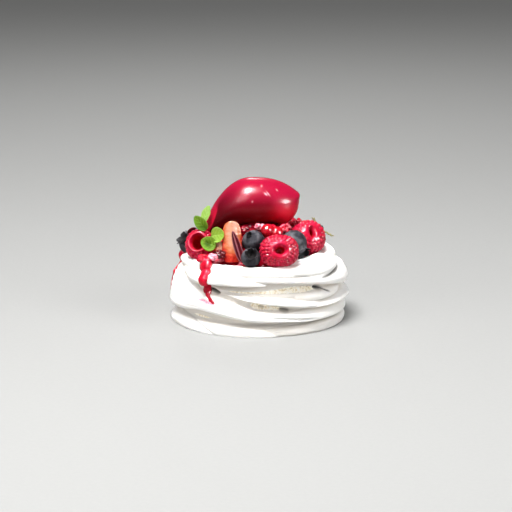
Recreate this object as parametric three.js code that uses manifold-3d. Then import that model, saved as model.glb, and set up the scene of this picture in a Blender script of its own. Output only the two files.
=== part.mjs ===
// Small pavlova: a spun meringue nest with folded ribbons, a heap of berry compote in its top,
// a ring of whole and cut fruit round the heap, and a quenelle of red sorbet lying on it.
// Millimetres, +Z up. The origin is the middle of the flat base, and the front is -Y.

import * as THREE from "three";
import { mergeVertices } from "three/addons/utils/BufferGeometryUtils.js";
import Module from "manifold-3d";

const wasm = await Module();
wasm.setup();

// Driving dimensions

const GAP = 0.35;                  // air kept between two pieces that touch
const BASE_RADIUS = 41.2;          // flat underside of the nest
const NEST_COLUMNS = 72;           // divisions round the nest
const NEST_ROWS = 29;              // divisions from the foot of the nest to inside its rim
const RIM_RUN = 44;                // length of the nest's side, from its foot over the rim
const RIBBON_SAG = 0.16;           // share of a ribbon's bulge by which it hangs down
const FLOOR_HEIGHT = 33.6;         // level middle of the nest's top

const HEAP_RADIUS = 28;
const HEAP_HEIGHT = 17.5;

const SORBET_LENGTH = 49;
const SORBET_DEPTH = 27;
const SORBET_THICKNESS = 24.6;
const SORBET_CENTRE = [-3, 1, 62.3];
const SORBET_DROOP = 0.024;        // how fast the left tip bends down, in 1/mm
const SORBET_DROOP_START = -4;

const DRUPELET_ROWS = [-90, -66, -46, -27, -9, 9, 27, 45, 62];  // degrees from a berry's waist
const DRUPELETS_ROUND = 10;
const DRUPELET_RELIEF = 0.06;      // how far a drupelet stands out, as a share of the half width

const BLUEBERRY_ROWS = [-90, -58, -34, -12, 10, 32, 52];
const CROWN_LOBES = 5;
const CROWN_RISE = 1.1;
const CROWN_PIT = 0.9;

const LEAF_THICKNESS = 0.5;

const COLOURS = {
  meringue: 0xf7f5ef,
  coulis: 0xc4102a,
  sorbet: 0xc0142f,
  raspberry: 0xd81b43,
  blueberry: 0x3a3b42,
  strawberry: 0xf2683c,
  currant: 0xd0141f,
  leaf: 0x7fb236,
  darkLeaf: 0x4a1220,
  herb: 0x7a8a2a,
};

// The nest's side without its ribbons, as [radius, height] from the foot up and over the rim.
const NEST_SIDE = [
  [BASE_RADIUS, 0], [42.2, 0.8], [42.4, 3], [42, 8], [41.6, 14], [41.4, 20],
  [41.2, 25], [40.6, 29], [38.6, 31.8], [35, 33.2], [28, FLOOR_HEIGHT],
];

// Each ribbon of meringue is a list of stations: azimuth from the front in degrees (right is
// positive), its lower edge, crest and upper edge along the side, and how far it stands out.
const RIBBONS = {
  rimFront: [
    [-118, 31.5, 33, 35, 1], [-95, 31.2, 33.2, 37, 2.8], [-66, 31.4, 33.4, 37.4, 3.2],
    [-34, 31.6, 33.6, 37.6, 3.5], [-13, 31.2, 33.4, 37.6, 3.5], [16, 30.8, 33.2, 37.6, 3.6],
    [46, 29.4, 32.8, 38, 3.6], [58, 30.2, 33.2, 38, 3.3], [66, 32.4, 34.6, 38, 2.6],
    [72, 34.5, 35.5, 37, 1],
  ],
  rimBack: [
    [60, 34.6, 35.6, 37, 0.8], [72, 31, 35.4, 39.4, 3.6], [90, 30.5, 35.6, 40, 4.8],
    [115, 30.8, 35.4, 39.8, 4.3], [150, 31.5, 34.8, 39, 3.6], [190, 31.6, 34.2, 38.4, 3.3],
    [230, 31.6, 34, 38, 3.2], [252, 31.6, 33.6, 37.6, 2.6], [266, 32.4, 33.6, 36, 0.8],
  ],
  tongue: [
    [-72, 29.8, 30.6, 31.4, 1], [-62, 28.3, 30, 31.8, 3], [-50, 25.6, 28.6, 32.2, 4.2],
    [-38, 25.9, 28.4, 32, 4.4], [-23, 26.1, 28.4, 31.8, 4.2], [-9, 26.5, 28, 31, 3.6],
    [5, 27.2, 27.7, 28.4, 1.6],
  ],
  shoulder: [
    [-22, 29.6, 30, 30.6, 1], [4, 28.7, 29.9, 31.2, 3], [29, 27.6, 29, 30.2, 3.8],
    [46, 25.4, 28, 30, 4.2], [63, 23.2, 26.6, 31, 4.8], [90, 19.8, 24.9, 31.5, 5.4],
    [125, 20.5, 25, 31, 5], [170, 23, 27, 32, 4.4], [210, 25.5, 29, 33, 3.8],
    [240, 27.5, 30.4, 33, 2.4], [262, 30, 31, 32, 0.8],
  ],
  waist: [
    [-24, 21.8, 22.2, 22.6, 0.6], [-6, 19, 20.6, 21.8, 2.6], [14, 17, 18.8, 20.4, 3.6],
    [29, 15.2, 17.2, 19, 4], [51, 13.7, 15.2, 16.6, 4.2], [75, 13, 15.4, 17.6, 5],
    [90, 12.7, 15.7, 18.2, 5.7], [120, 12.8, 16.5, 20, 5], [160, 13.5, 18, 22, 4.6],
    [200, 14.5, 19.5, 24, 4.4], [235, 17, 21, 25, 3.4], [258, 20, 22, 24, 1.2],
  ],
  belly: [
    [-110, 8.2, 12.8, 25, 4.9], [-90, 8.5, 13, 30, 5.3], [-66, 10, 13.5, 28.8, 5.2],
    [-55, 11.3, 14.2, 27, 5], [-44, 12.3, 15, 22.5, 4.6], [-29, 11.3, 14, 20.6, 4.2],
    [-13, 9.5, 12, 16.8, 4], [0, 8.6, 10.8, 14.2, 3.8], [20, 8.2, 9.8, 12.8, 3.4],
    [37, 7, 9.4, 11.6, 3.2], [60, 6.7, 9, 12, 3.4], [90, 6, 8.7, 11.7, 3.6],
    [125, 5.5, 8.5, 12, 3.8], [180, 6, 9.5, 14, 4.2], [215, 7, 11, 16, 4.5],
    [250, 8.2, 12.8, 25, 4.9],
  ],
  footLeft: [
    [-125, 1, 2.5, 5, 1.5], [-100, 0.2, 2.4, 6, 3.6], [-84, 0.2, 2.4, 6.4, 4],
    [-71, 0.3, 2.8, 7.4, 3.4], [-54, 0.3, 2.2, 5.7, 3], [-39, 0.3, 2, 4.6, 2.8],
    [-13, 0.3, 2, 4.9, 2.6], [2, 0.3, 1.6, 3.8, 2.4], [13, 0.2, 0.8, 1.5, 1],
  ],
  footRight: [
    [-8, 3.2, 3.8, 4.4, 0.5], [8, 1.2, 3, 5, 1.8], [16, 0.4, 2.8, 5.4, 2.4],
    [37, 0.2, 2.8, 5.9, 2.7], [56, 0.2, 2.9, 6.5, 3], [90, 0.1, 3.4, 5.8, 3.1],
    [135, 0.1, 3, 6, 3], [180, 0.1, 2.8, 5.6, 3], [220, 0.2, 2.8, 6, 3.4],
    [245, 0.2, 2.6, 6, 3.8], [262, 0.5, 2.4, 5, 1.5],
  ],
};

// Runs of coulis down the nest: [azimuth, distance up the side, thickness] from top to bottom.
const COULIS_RUNS = [
  [
    [-50, 39.5, 5.2], [-45, 35, 5.6], [-41, 31, 5], [-44, 27, 4.6], [-42, 22.5, 4.8],
    [-40, 17.5, 2.6], [-34, 14.2, 3.2],
  ],
  [
    [-97, 38, 4.6], [-97, 33.5, 4.4], [-98, 29, 2.2], [-99, 20, 1.8], [-100, 9, 2.2],
    [-100, 5.5, 4.2],
  ],
];
const COULIS_BEAD_LIFT = 0.3;      // how far a bead's middle stands off the meringue
const COULIS_CORD_LIFT = 0.2;

// Whole raspberries: middle, width, height, length, width and height of the hollow's mouth, and
// where the mouth faces, as azimuth from the front and elevation.
const RASPBERRIES = {
  raspberry_front: { at: [10.6, -31, 43.3], size: [20.2, 16.6, 17], mouth: [5, 4.6], facing: [4, 15] },
  raspberry_right: { at: [25.9, -2.8, 43.9], size: [17.4, 17.4, 17.6], mouth: [2.6, 5], facing: [22, 40] },
  raspberry_left: { at: [-30.8, -12.6, 42.4], size: [15.6, 15, 15], mouth: [6.8, 7], facing: [14, 20] },
  raspberry_back_right: { at: [15.4, 24.4, 43.4], size: [18.4, 17.4, 17], mouth: [5, 5], facing: [156, 22] },
  raspberry_back_left: { at: [-21.4, 20, 43.3], size: [17, 16.6, 16.4], mouth: [4.6, 4.6], facing: [222, 35] },
};

// Blueberries: middle, diameter, width of the crown, and where the crown faces.
const BLUEBERRIES = {
  blueberry_front_upper: { at: [-3.6, -23.2, 46.9], diameter: 11.8, crown: 3.6, facing: [-25, 38] },
  blueberry_front_lower: { at: [-5.2, -33, 40], diameter: 10, crown: 5.6, facing: [0, 36] },
  blueberry_right: { at: [18.6, -16.4, 44.6], diameter: 12.6, crown: 7.6, facing: [46, -38] },
  blueberry_left: { at: [-37.5, 0.2, 40.5], diameter: 11, crown: 6.8, facing: [-68, 30] },
  blueberry_back_right: { at: [27.8, 12.8, 41.6], diameter: 12.4, crown: 5, facing: [120, 20] },
  blueberry_back_middle: { at: [-4.4, 31.3, 41.1], diameter: 12, crown: 5, facing: [176, 30] },
  blueberry_back_left: { at: [-33.5, 11.4, 41.2], diameter: 11.4, crown: 5, facing: [250, 10] },
};

// Cut strawberries: foot, size of the berry, share of the berry kept, lean and turn in degrees.
const STRAWBERRIES = {
  strawberry_front: { foot: [-14.4, -22.6, 35], width: 17, length: 21.5, slice: 84, lean: 10, turn: 10 },
  strawberry_side: { foot: [-24.5, -22.5, 36.4], width: 8.4, length: 10.6, slice: 90, lean: 12, turn: -20 },
  strawberry_back: { foot: [-1.6, 21.4, 35], width: 16, length: 18, slice: 100, lean: 14, turn: 184 },
};

// A strawberry's side from its cut end to its tip, as shares of its width and its length.
const STRAWBERRY_SIDE = [
  [0, 0], [0.3, 0.01], [0.43, 0.1], [0.49, 0.28], [0.46, 0.52], [0.37, 0.74], [0.22, 0.91], [0, 1],
];

// Red currants: middle and diameter.
const CURRANTS = {
  currant_front_left: { at: [3.9, -18.6, 52.2], diameter: 5.8 },
  currant_front_right: { at: [9.7, -17.2, 52], diameter: 6.2 },
  currant_back: { at: [-10.4, 19, 49.4], diameter: 6.6 },
};

// Leaves: the stem end, the tip, the width, how deep the blade is cupped, and where it faces.
const LEAVES = {
  leaf_left: { from: [-27.2, -15.6, 50.4], to: [-33.4, -14.4, 57.2], width: 5.4, cup: 1.1, faces: [-20, 30] },
  leaf_behind: { from: [-28.4, -8.6, 52.6], to: [-25.6, -7.4, 60.6], width: 6.2, cup: 0.8, faces: [10, 20] },
  leaf_right: { from: [-24.6, -22.4, 48.8], to: [-17.8, -23.8, 50], width: 8, cup: 1.3, faces: [10, 24] },
  leaf_front: { from: [-22.8, -25.2, 44.2], to: [-30.8, -24.6, 47.6], width: 6.4, cup: 1.5, faces: [-6, 10] },
  leaf_dark_front: { from: [-9.7, -29.7, 37.2], to: [-13.8, -28, 52.4], width: 3, cup: 0.8, faces: [20, 10] },
  leaf_dark_back: { from: [-32, -2.8, 46], to: [-36, -1.4, 49.8], width: 4.6, cup: 0.8, faces: [-10, 20] },
};
const DARK_LEAVES = new Set(["leaf_dark_front", "leaf_dark_back"]);

// The herb sprig's stem, from its upper tip down to its lower one, and where its leaflets sit.
const SPRIG_STEM = [[29.4, 7.6, 51.6], [31.6, 7.6, 49.4], [34, 6.6, 46.8], [36, 4.8, 44.6], [38, 3.4, 43.2]];
const SPRIG_THICKNESS = 0.8;
const SPRIG_LEAFLETS = [0.04, 0.14, 0.24, 0.72, 0.84, 0.95];
const SPRIG_LEAFLET_LENGTH = 2.6;

// General helpers

const radians = THREE.MathUtils.degToRad;
const vector = ([x, y, z]) => new THREE.Vector3(x, y, z);

// Welds a geometry to shared vertices and drops the flat slivers that a pole leaves.
function welded(geometry) {
  const bare = geometry.clone();
  bare.deleteAttribute("normal");
  bare.deleteAttribute("uv");
  const merged = mergeVertices(bare, 1e-4);
  const corners = Array.from(merged.index.array);
  const kept = [];
  for (let i = 0; i < corners.length; i += 3) {
    const [a, b, c] = corners.slice(i, i + 3);
    if (a !== b && b !== c && c !== a) kept.push(a, b, c);
  }
  merged.setIndex(kept);
  return merged;
}

function toSolid(geometry) {
  const merged = welded(geometry);
  return new wasm.Manifold(new wasm.Mesh({
    numProp: 3,
    vertProperties: Float32Array.from(merged.getAttribute("position").array),
    triVerts: Uint32Array.from(merged.index.array),
  }));
}

function toGeometry(solid) {
  const mesh = solid.getMesh();
  const geometry = new THREE.BufferGeometry();
  geometry.setAttribute("position", new THREE.Float32BufferAttribute(mesh.vertProperties, 3));
  geometry.setIndex(Array.from(mesh.triVerts));
  return geometry;
}

function joined(geometries) {
  return toGeometry(geometries.map(toSolid).reduce((whole, piece) => whole.add(piece)));
}

// Moves each vertex of a geometry to where the function puts it.
function reshaped(geometry, move) {
  const position = geometry.getAttribute("position");
  const point = new THREE.Vector3();
  for (let i = 0; i < position.count; i += 1) {
    point.fromBufferAttribute(position, i);
    position.setXYZ(i, ...move(point, i).toArray());
  }
  return geometry;
}

// A turned body about Z: profile is [radius, height] from its lowest point on the axis.
function turned(profile, segments) {
  const lathe = new THREE.LatheGeometry(profile.map(([r, z]) => new THREE.Vector2(r, z)), segments);
  return lathe.rotateX(Math.PI / 2);
}

// The direction of a heading: azimuth from the front, positive to the right, and elevation.
function heading([azimuth, elevation]) {
  const flat = Math.cos(radians(elevation));
  return new THREE.Vector3(
    flat * Math.sin(radians(azimuth)), -flat * Math.cos(radians(azimuth)), Math.sin(radians(elevation)));
}

// Stands a geometry made along +Z at a place, facing a heading, with its +Y side kept upward.
function placed(geometry, at, facing) {
  const forward = heading(facing);
  const side = new THREE.Vector3(0, 0, 1).cross(forward).normalize();
  const up = forward.clone().cross(side);
  const matrix = new THREE.Matrix4().makeBasis(side, up, forward).setPosition(vector(at));
  return geometry.applyMatrix4(matrix);
}

// The nest

// A smooth curve through the stations of a ribbon, read at one azimuth, or nothing outside it.
function ribbonAt(stations, azimuth) {
  const last = stations.length - 1;
  if (azimuth < stations[0][0] || azimuth > stations[last][0]) return null;
  const i = Math.min(stations.findIndex((station) => station[0] >= azimuth) || 1, last);
  const span = stations[i][0] - stations[i - 1][0];
  const t = (azimuth - stations[i - 1][0]) / span;
  const slope = (n, field) => {
    const before = stations[Math.max(n - 1, 0)];
    const after = stations[Math.min(n + 1, last)];
    return (after[field] - before[field]) / (after[0] - before[0]);
  };
  const value = (field) =>
    stations[i - 1][field] * (1 + 2 * t) * (1 - t) ** 2 + stations[i][field] * t * t * (3 - 2 * t)
    + slope(i - 1, field) * span * t * (1 - t) ** 2 - slope(i, field) * span * t * t * (1 - t);
  return { low: value(1), crest: value(2), high: value(3), out: value(4) };
}

// How far one ribbon stands out: a steep lip below its crest and a long slope above it.
function bulge({ low, crest, high, out }, run) {
  const share = run < crest ? (crest - run) / (crest - low) : (run - crest) / (high - crest);
  if (share >= 1) return 0;
  return out * (1 - share * share) ** (run < crest ? 0.5 : 0.8);
}

function ribbonRelief(azimuth, run) {
  let relief = 0;
  for (const stations of Object.values(RIBBONS)) {
    for (const turn of [-360, 0, 360]) {
      const ribbon = ribbonAt(stations, azimuth + turn);
      if (ribbon) relief = Math.max(relief, bulge(ribbon, run));
    }
  }
  return relief;
}

const nestSide = new THREE.SplineCurve(NEST_SIDE.map(([r, z]) => new THREE.Vector2(r, z)));
nestSide.arcLengthDivisions = 400;

// A point of the nest's surface: azimuth in degrees, distance up the side, extra distance out.
function nestPoint(azimuth, run, lift = 0) {
  const share = THREE.MathUtils.clamp(run / RIM_RUN, 0, 1);
  const foot = nestSide.getPointAt(share);
  const tangent = nestSide.getTangentAt(share);
  const relief = ribbonRelief(azimuth, run);
  const radius = foot.x + tangent.y * (relief + lift);
  const height = Math.max(foot.y - tangent.x * (relief + lift) - RIBBON_SAG * relief * tangent.y, 0);
  return new THREE.Vector3(
    radius * Math.sin(radians(azimuth)), -radius * Math.cos(radians(azimuth)), height);
}

function nestBody() {
  const rows = NEST_ROWS + 3;
  const blank = Array.from({ length: rows + 1 }, (_, row) => [row === 0 || row === rows ? 0 : 1, row]);
  const position = (column, row) => {
    const azimuth = 360 * (column % NEST_COLUMNS) / NEST_COLUMNS - 180;
    if (row === 0) return new THREE.Vector3(0, 0, 0);
    if (row === rows) return new THREE.Vector3(0, 0, FLOOR_HEIGHT);
    if (row === rows - 1) return nestPoint(azimuth, RIM_RUN).multiply(new THREE.Vector3(0.5, 0.5, 1));
    return nestPoint(azimuth, RIM_RUN * (row - 1) / NEST_ROWS);
  };
  return reshaped(turned(blank, NEST_COLUMNS), (point, i) =>
    position(Math.floor(i / (rows + 1)), i % (rows + 1)));
}

// One run of coulis: a cord of sauce on the nest's side, with a bead at each of its stations.
function coulisRun(stations) {
  const beads = stations.map(([azimuth, run, thickness]) => {
    const middle = nestPoint(azimuth, run, COULIS_BEAD_LIFT);
    return new THREE.SphereGeometry(thickness / 2, 7, 4).translate(...middle.toArray());
  });
  const path = new THREE.CatmullRomCurve3(
    stations.map(([azimuth, run]) => nestPoint(azimuth, run, COULIS_CORD_LIFT)), false, "centripetal");
  const thinnest = Math.min(...stations.map(([, , thickness]) => thickness));
  const section = new THREE.Shape().absarc(0, 0, thinnest / 2, 0, 2 * Math.PI);
  const steps = 2 * stations.length;
  const cord = new THREE.ExtrudeGeometry(section, { extrudePath: path, steps, curveSegments: 3 });
  return [cord, ...beads];
}

// The toppings

// Splits the squares of a turned body so that each vertex of an odd place stands as a point.
function pointed(geometry, rows, segments) {
  const corners = [];
  for (let column = 0; column < segments; column += 1) {
    for (let row = 0; row < rows - 1; row += 1) {
      const a = column * rows + row;
      const [b, c, d] = [a + rows, a + rows + 1, a + 1];
      if ((row + column) % 2) corners.push(a, b, d, c, d, b);
      else corners.push(a, b, c, a, c, d);
    }
  }
  geometry.setIndex(corners);
  return geometry;
}

// A raspberry along +Z with its hollow's mouth on top: rows of drupelets stand out in turn.
function raspberry({ size: [width, height, length], mouth: [mouthWidth, mouthHeight] }) {
  const segments = 2 * DRUPELETS_ROUND;
  const outside = DRUPELET_ROWS.map((angle) => [
    0.5 * width * Math.cos(radians(angle)) ** 0.85, 0.5 * length * Math.sin(radians(angle))]);
  outside[0][0] = 0;
  const lip = [0.17 * width, 0.46 * length];
  const hollow = [[0.5, 0.3 * length], [0.36, -0.1 * length], [0, -0.14 * length]];
  const profile = [...outside, lip, ...hollow];
  const berry = pointed(turned(profile, segments), profile.length, segments);
  return reshaped(berry, (point, i) => {
    const row = i % profile.length;
    const column = Math.floor(i / profile.length) % segments;
    const onDrupelets = row > 0 && row < outside.length;
    if (onDrupelets) point.multiplyScalar(1 + ((row + column) % 2 ? 1 : -1) * DRUPELET_RELIEF);
    if (row > outside.length) point.multiply(new THREE.Vector3(mouthWidth, mouthHeight, 1));
    point.y *= height / width;
    return point;
  });
}

// A blueberry along +Z with a lobed crown round a shallow pit on top.
function blueberry({ diameter, crown }) {
  const radius = diameter / 2;
  const ball = BLUEBERRY_ROWS.map((angle) => [
    radius * Math.cos(radians(angle)), radius * Math.sin(radians(angle))]);
  ball[0][0] = 0;
  const neck = Math.sqrt(radius ** 2 - (0.36 * crown) ** 2);
  const rim = ball.length + 1;
  const cup = [
    [0.36 * crown, neck], [0.5 * crown, neck + CROWN_RISE], [0.3 * crown, neck - 0.1], [0, neck - CROWN_PIT],
  ];
  const profile = [...ball, ...cup];
  const notch = new THREE.Vector3(0.82, 0.82, 1);
  return reshaped(turned(profile, 2 * CROWN_LOBES), (point, i) => {
    const notched = i % profile.length === rim && Math.floor(i / profile.length) % 2 === 1;
    return notched ? point.multiply(notch).setZ(point.z - CROWN_RISE / 2) : point;
  });
}

// A strawberry standing on its cut end, tip up, cut lengthwise to a slice of so many degrees.
function strawberrySlice({ width, length, slice }) {
  const body = turned(STRAWBERRY_SIDE.map(([r, z]) => [r * width, z * length]), 20);
  const reach = 2 * width;
  const wedge = new THREE.Shape();
  wedge.moveTo(0, -0.1 * width);
  wedge.lineTo(reach * Math.sin(radians(slice / 2)), reach * Math.cos(radians(slice / 2)));
  wedge.lineTo(-reach * Math.sin(radians(slice / 2)), reach * Math.cos(radians(slice / 2)));
  const blade = new THREE.ExtrudeGeometry(wedge, { depth: 2 * length, bevelEnabled: false });
  return toGeometry(toSolid(body).intersect(toSolid(blade.translate(0, 0, -0.5 * length))))
    .translate(0, -0.22 * width, 0);
}

// A leaf blade from its stem end to its tip: a thin cupped solid whose two faces are split alike.
function leafBlade({ from, to, width, cup, faces }) {
  const [along, across] = [6, 4];
  const start = vector(from);
  const spine = vector(to).sub(start);
  const length = spine.length();
  const forward = spine.normalize();
  const side = heading(faces).cross(forward).normalize();
  const face = forward.clone().cross(side);
  const sheet = new THREE.PlaneGeometry(1, 1, across, along);
  const grid = sheet.getAttribute("position");
  const layer = (offset) => Array.from({ length: grid.count }, (_, i) => {
    const t = grid.getY(i) + 0.5;
    const s = 2 * grid.getX(i);
    const half = 0.5 * width * (0.1 + 0.9 * Math.sin(Math.PI * t ** 0.85) ** 0.8);
    const rise = cup * (s * s * half / (0.5 * width) + 0.9 * (t - 0.4) ** 2) + offset;
    return start.clone().addScaledVector(forward, t * length).addScaledVector(side, s * half)
      .addScaledVector(face, rise).toArray();
  });
  const upper = Array.from(sheet.index.array);
  const lower = [];
  for (let i = 0; i < upper.length; i += 3) {
    lower.push(upper[i] + grid.count, upper[i + 2] + grid.count, upper[i + 1] + grid.count);
  }
  const row = across + 1;
  const edge = [];
  for (let i = 0; i < across; i += 1) edge.push(i);
  for (let j = 0; j < along; j += 1) edge.push(j * row + across);
  for (let i = across; i > 0; i -= 1) edge.push(along * row + i);
  for (let j = along; j > 0; j -= 1) edge.push(j * row);
  const wall = edge.flatMap((a, n) => {
    const b = edge[(n + 1) % edge.length];
    return [a, b, b + grid.count, a, b + grid.count, a + grid.count];
  });
  const blade = new THREE.BufferGeometry();
  const corners = [...layer(0.5 * LEAF_THICKNESS), ...layer(-0.5 * LEAF_THICKNESS)].flat();
  blade.setAttribute("position", new THREE.Float32BufferAttribute(corners, 3));
  blade.setIndex([...upper, ...lower, ...wall].reverse());
  return blade;
}

// A curved herb stem with a pair of small needle leaves at each place along it.
function herbSprig() {
  const stem = new THREE.CatmullRomCurve3(SPRIG_STEM.map(vector));
  const section = new THREE.Shape().absarc(0, 0, SPRIG_THICKNESS / 2, 0, 2 * Math.PI);
  const pieces = [new THREE.ExtrudeGeometry(section, { extrudePath: stem, steps: 6, curveSegments: 3 })];
  SPRIG_LEAFLETS.forEach((share, n) => {
    const base = stem.getPointAt(share);
    const turn = n % 2 ? 55 : -55;
    const direction = stem.getTangentAt(share).applyAxisAngle(new THREE.Vector3(0, 1, 0), radians(turn));
    const outward = share < 0.5 ? direction.negate() : direction;
    const needle = new THREE.OctahedronGeometry(1, 0).scale(0.6, 0.45, SPRIG_LEAFLET_LENGTH / 2);
    const turnTo = new THREE.Quaternion().setFromUnitVectors(new THREE.Vector3(0, 0, 1), outward);
    const middle = base.clone().addScaledVector(outward, 0.42 * SPRIG_LEAFLET_LENGTH);
    pieces.push(needle.applyQuaternion(turnTo).translate(...middle.toArray()));
  });
  return joined(pieces);
}

// The sorbet: an egg along X whose left end bends down. grow makes it larger all round.
function sorbetQuenelle(grow = 0) {
  const [x0, y0, z0] = SORBET_CENTRE;
  const egg = new THREE.SphereGeometry(1, 24, 13).rotateZ(-Math.PI / 2);
  return reshaped(egg, ({ x, y, z }) => {
    const along = x * (SORBET_LENGTH / 2 + grow);
    const droop = SORBET_DROOP * Math.max(SORBET_DROOP_START - (x0 + along), 0) ** 2;
    const fullness = 1 + 0.16 * Math.abs(x) ** 3;
    const wide = y * fullness * (SORBET_DEPTH / 2 + grow) * (1 - 0.12 * z);
    const high = z * fullness * (SORBET_THICKNESS / 2 + grow);
    return new THREE.Vector3(x0 + along, y0 + wide, z0 + high - droop);
  });
}

// The heap of compote: a lumpy mound on the nest's floor, cut clear of what is pressed into it.
function compoteHeap(clearances) {
  const steps = 6;
  const sides = 32;
  const foot = FLOOR_HEIGHT + GAP;
  const profile = [[0, 0], [0.5 * HEAP_RADIUS, 0]];
  for (let step = 0; step <= steps; step += 1) profile.push([HEAP_RADIUS * (1 - step / steps), 1]);
  const mound = reshaped(turned(profile, sides), (point, i) => {
    const row = i % profile.length;
    if (row < 2) return new THREE.Vector3(point.x, point.y, foot);
    const azimuth = 2 * Math.PI * (Math.floor(i / profile.length) % sides) / sides;
    const share = 1 - (row - 2) / steps;
    const lumps = 0.55 * Math.sin(7 * azimuth + 3 * share) * Math.sin(5 * share * Math.PI);
    const rise = row === 2 ? 0 : 1.2 + (HEAP_HEIGHT - 1.2) * (1 - share ** 2.6) ** 0.9 + lumps;
    const reach = 1 + 0.03 * Math.sin(5 * azimuth) + 0.02 * Math.sin(9 * azimuth + 1);
    return new THREE.Vector3(point.x * reach, point.y * reach, foot + rise);
  });
  return toGeometry(clearances.map(toSolid).reduce((heap, cut) => heap.subtract(cut), toSolid(mound)));
}

// Clearances: smooth shapes a little larger than each piece, which the heap is cut to.

function ovalClearance({ at, size, facing }, margin) {
  const oval = new THREE.SphereGeometry(1, 12, 7).rotateX(Math.PI / 2);
  return placed(oval.scale(...size.map((side) => side / 2 + margin)), at, facing);
}

function ballClearance({ at, diameter }, margin) {
  return new THREE.SphereGeometry(diameter / 2 + margin, 10, 6).translate(...at);
}

function standing(geometry, { foot, lean, turn }) {
  return geometry.rotateX(-radians(lean)).rotateZ(radians(turn)).translate(...foot);
}

function strawberryClearance({ foot, width, length, slice, lean, turn }, margin) {
  const larger = { width: width + 2 * margin, length: length + 2 * margin, slice: slice + 10 };
  const [x, y, z] = foot;
  return standing(strawberrySlice(larger), { foot: [x, y, z - margin], lean, turn });
}

// The scene graph

const pavlova = new THREE.Group();

function addPiece(name, geometry, color, roughness) {
  const piece = new THREE.Mesh(geometry, new THREE.MeshStandardMaterial({ color, roughness, metalness: 0 }));
  piece.name = name;
  pavlova.add(piece);
}

addPiece("meringue_nest", joined([nestBody(), ...COULIS_RUNS.flatMap(coulisRun)]), COLOURS.meringue, 0.7);

const clearances = [
  sorbetQuenelle(GAP),
  ...Object.values(RASPBERRIES).map((berry) => ovalClearance(berry, GAP + 1.2)),
  ...Object.values(BLUEBERRIES).map((berry) => ballClearance(berry, GAP + 0.4)),
  ...Object.values(CURRANTS).map((berry) => ballClearance(berry, GAP + 0.3)),
  ...Object.values(STRAWBERRIES).map((piece) => strawberryClearance(piece, GAP + 0.1)),
];
addPiece("berry_compote", compoteHeap(clearances), COLOURS.coulis, 0.25);
addPiece("sorbet_quenelle", sorbetQuenelle(), COLOURS.sorbet, 0.25);

for (const [name, berry] of Object.entries(RASPBERRIES)) {
  addPiece(name, placed(raspberry(berry), berry.at, berry.facing), COLOURS.raspberry, 0.35);
}
for (const [name, berry] of Object.entries(BLUEBERRIES)) {
  addPiece(name, placed(blueberry(berry), berry.at, berry.facing), COLOURS.blueberry, 0.5);
}
for (const [name, piece] of Object.entries(STRAWBERRIES)) {
  addPiece(name, standing(strawberrySlice(piece), piece), COLOURS.strawberry, 0.4);
}
for (const [name, { at, diameter }] of Object.entries(CURRANTS)) {
  addPiece(name, new THREE.SphereGeometry(diameter / 2, 9, 6).translate(...at), COLOURS.currant, 0.15);
}
for (const [name, leaf] of Object.entries(LEAVES)) {
  addPiece(name, leafBlade(leaf), DARK_LEAVES.has(name) ? COLOURS.darkLeaf : COLOURS.leaf, 0.5);
}
addPiece("herb_sprig", herbSprig(), COLOURS.herb, 0.6);

export default pavlova;
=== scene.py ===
"""Dresses a small pavlova: a spun meringue nest, berry compote, whole and cut fruit, red sorbet.

The classes hold millimetres, and a mesh is made in metres. +Z is up, the front is -Y, and the
origin is the middle of the nest's flat base. Azimuths are degrees from the front, right positive.
"""

import logging
import math
import random
from dataclasses import dataclass
from enum import Enum
from typing import Any, Callable, Mapping, Sequence

import bmesh
import bpy
from mathutils import Matrix, Vector, kdtree, noise

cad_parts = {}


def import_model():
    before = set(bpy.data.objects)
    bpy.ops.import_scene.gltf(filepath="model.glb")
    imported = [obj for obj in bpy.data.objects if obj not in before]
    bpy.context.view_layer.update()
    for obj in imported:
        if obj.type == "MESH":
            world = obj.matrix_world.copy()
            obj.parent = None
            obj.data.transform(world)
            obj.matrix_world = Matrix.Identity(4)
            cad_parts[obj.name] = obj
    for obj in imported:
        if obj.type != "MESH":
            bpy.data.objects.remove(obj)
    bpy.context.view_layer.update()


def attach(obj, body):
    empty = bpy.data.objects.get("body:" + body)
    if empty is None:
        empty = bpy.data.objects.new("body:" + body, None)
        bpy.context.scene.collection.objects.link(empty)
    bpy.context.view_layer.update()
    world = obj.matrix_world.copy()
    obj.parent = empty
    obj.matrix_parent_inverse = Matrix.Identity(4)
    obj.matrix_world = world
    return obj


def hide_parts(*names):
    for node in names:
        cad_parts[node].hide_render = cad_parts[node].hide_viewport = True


Stations = Sequence[Sequence[float]]
Place = tuple[float, float, float]
Facing = tuple[float, float]
Mesh = bmesh.types.BMesh
Vert = bmesh.types.BMVert
Material = bpy.types.Material

MM = 0.001
BODY = "root"
MEAN_DOME = 0.75

log = logging.getLogger("pavlova")


# Colours, placing and smooth curves


def linear(code: str) -> tuple[float, float, float, float]:
    """Turns an sRGB hex colour to linear light.

    Args:
        code: the colour, as a hash sign and six hex digits.

    Returns:
        Red, green, blue and a full alpha.
    """
    channels = [int(code[i:i + 2], 16) / 255 for i in (1, 3, 5)]
    red, green, blue = [c / 12.92 if c <= 0.04045 else ((c + 0.055) / 1.055) ** 2.4 for c in channels]
    return red, green, blue, 1.0


def per_mm(size: float) -> float:
    """Returns the scale of a pattern whose marks are so many millimetres apart."""
    return 1.0 / (size * MM)


def eased(value: float, low: float, high: float) -> float:
    """Returns a smooth step from 0 at the low value to 1 at the high one."""
    share = min(max((value - low) / (high - low), 0.0), 1.0)
    return share * share * (3 - 2 * share)


def bell(offset: float, width: float) -> float:
    """Returns a bell curve: 1 at no offset, and about a third one width away."""
    return math.exp(-(offset / width) ** 2)


def round_tip(share: float) -> float:
    """Returns how thick a round tip is, from 0 at its end to 1 where it has its full thickness."""
    return math.sqrt(max(1 - (1 - min(share, 1)) ** 2, 0))


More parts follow.
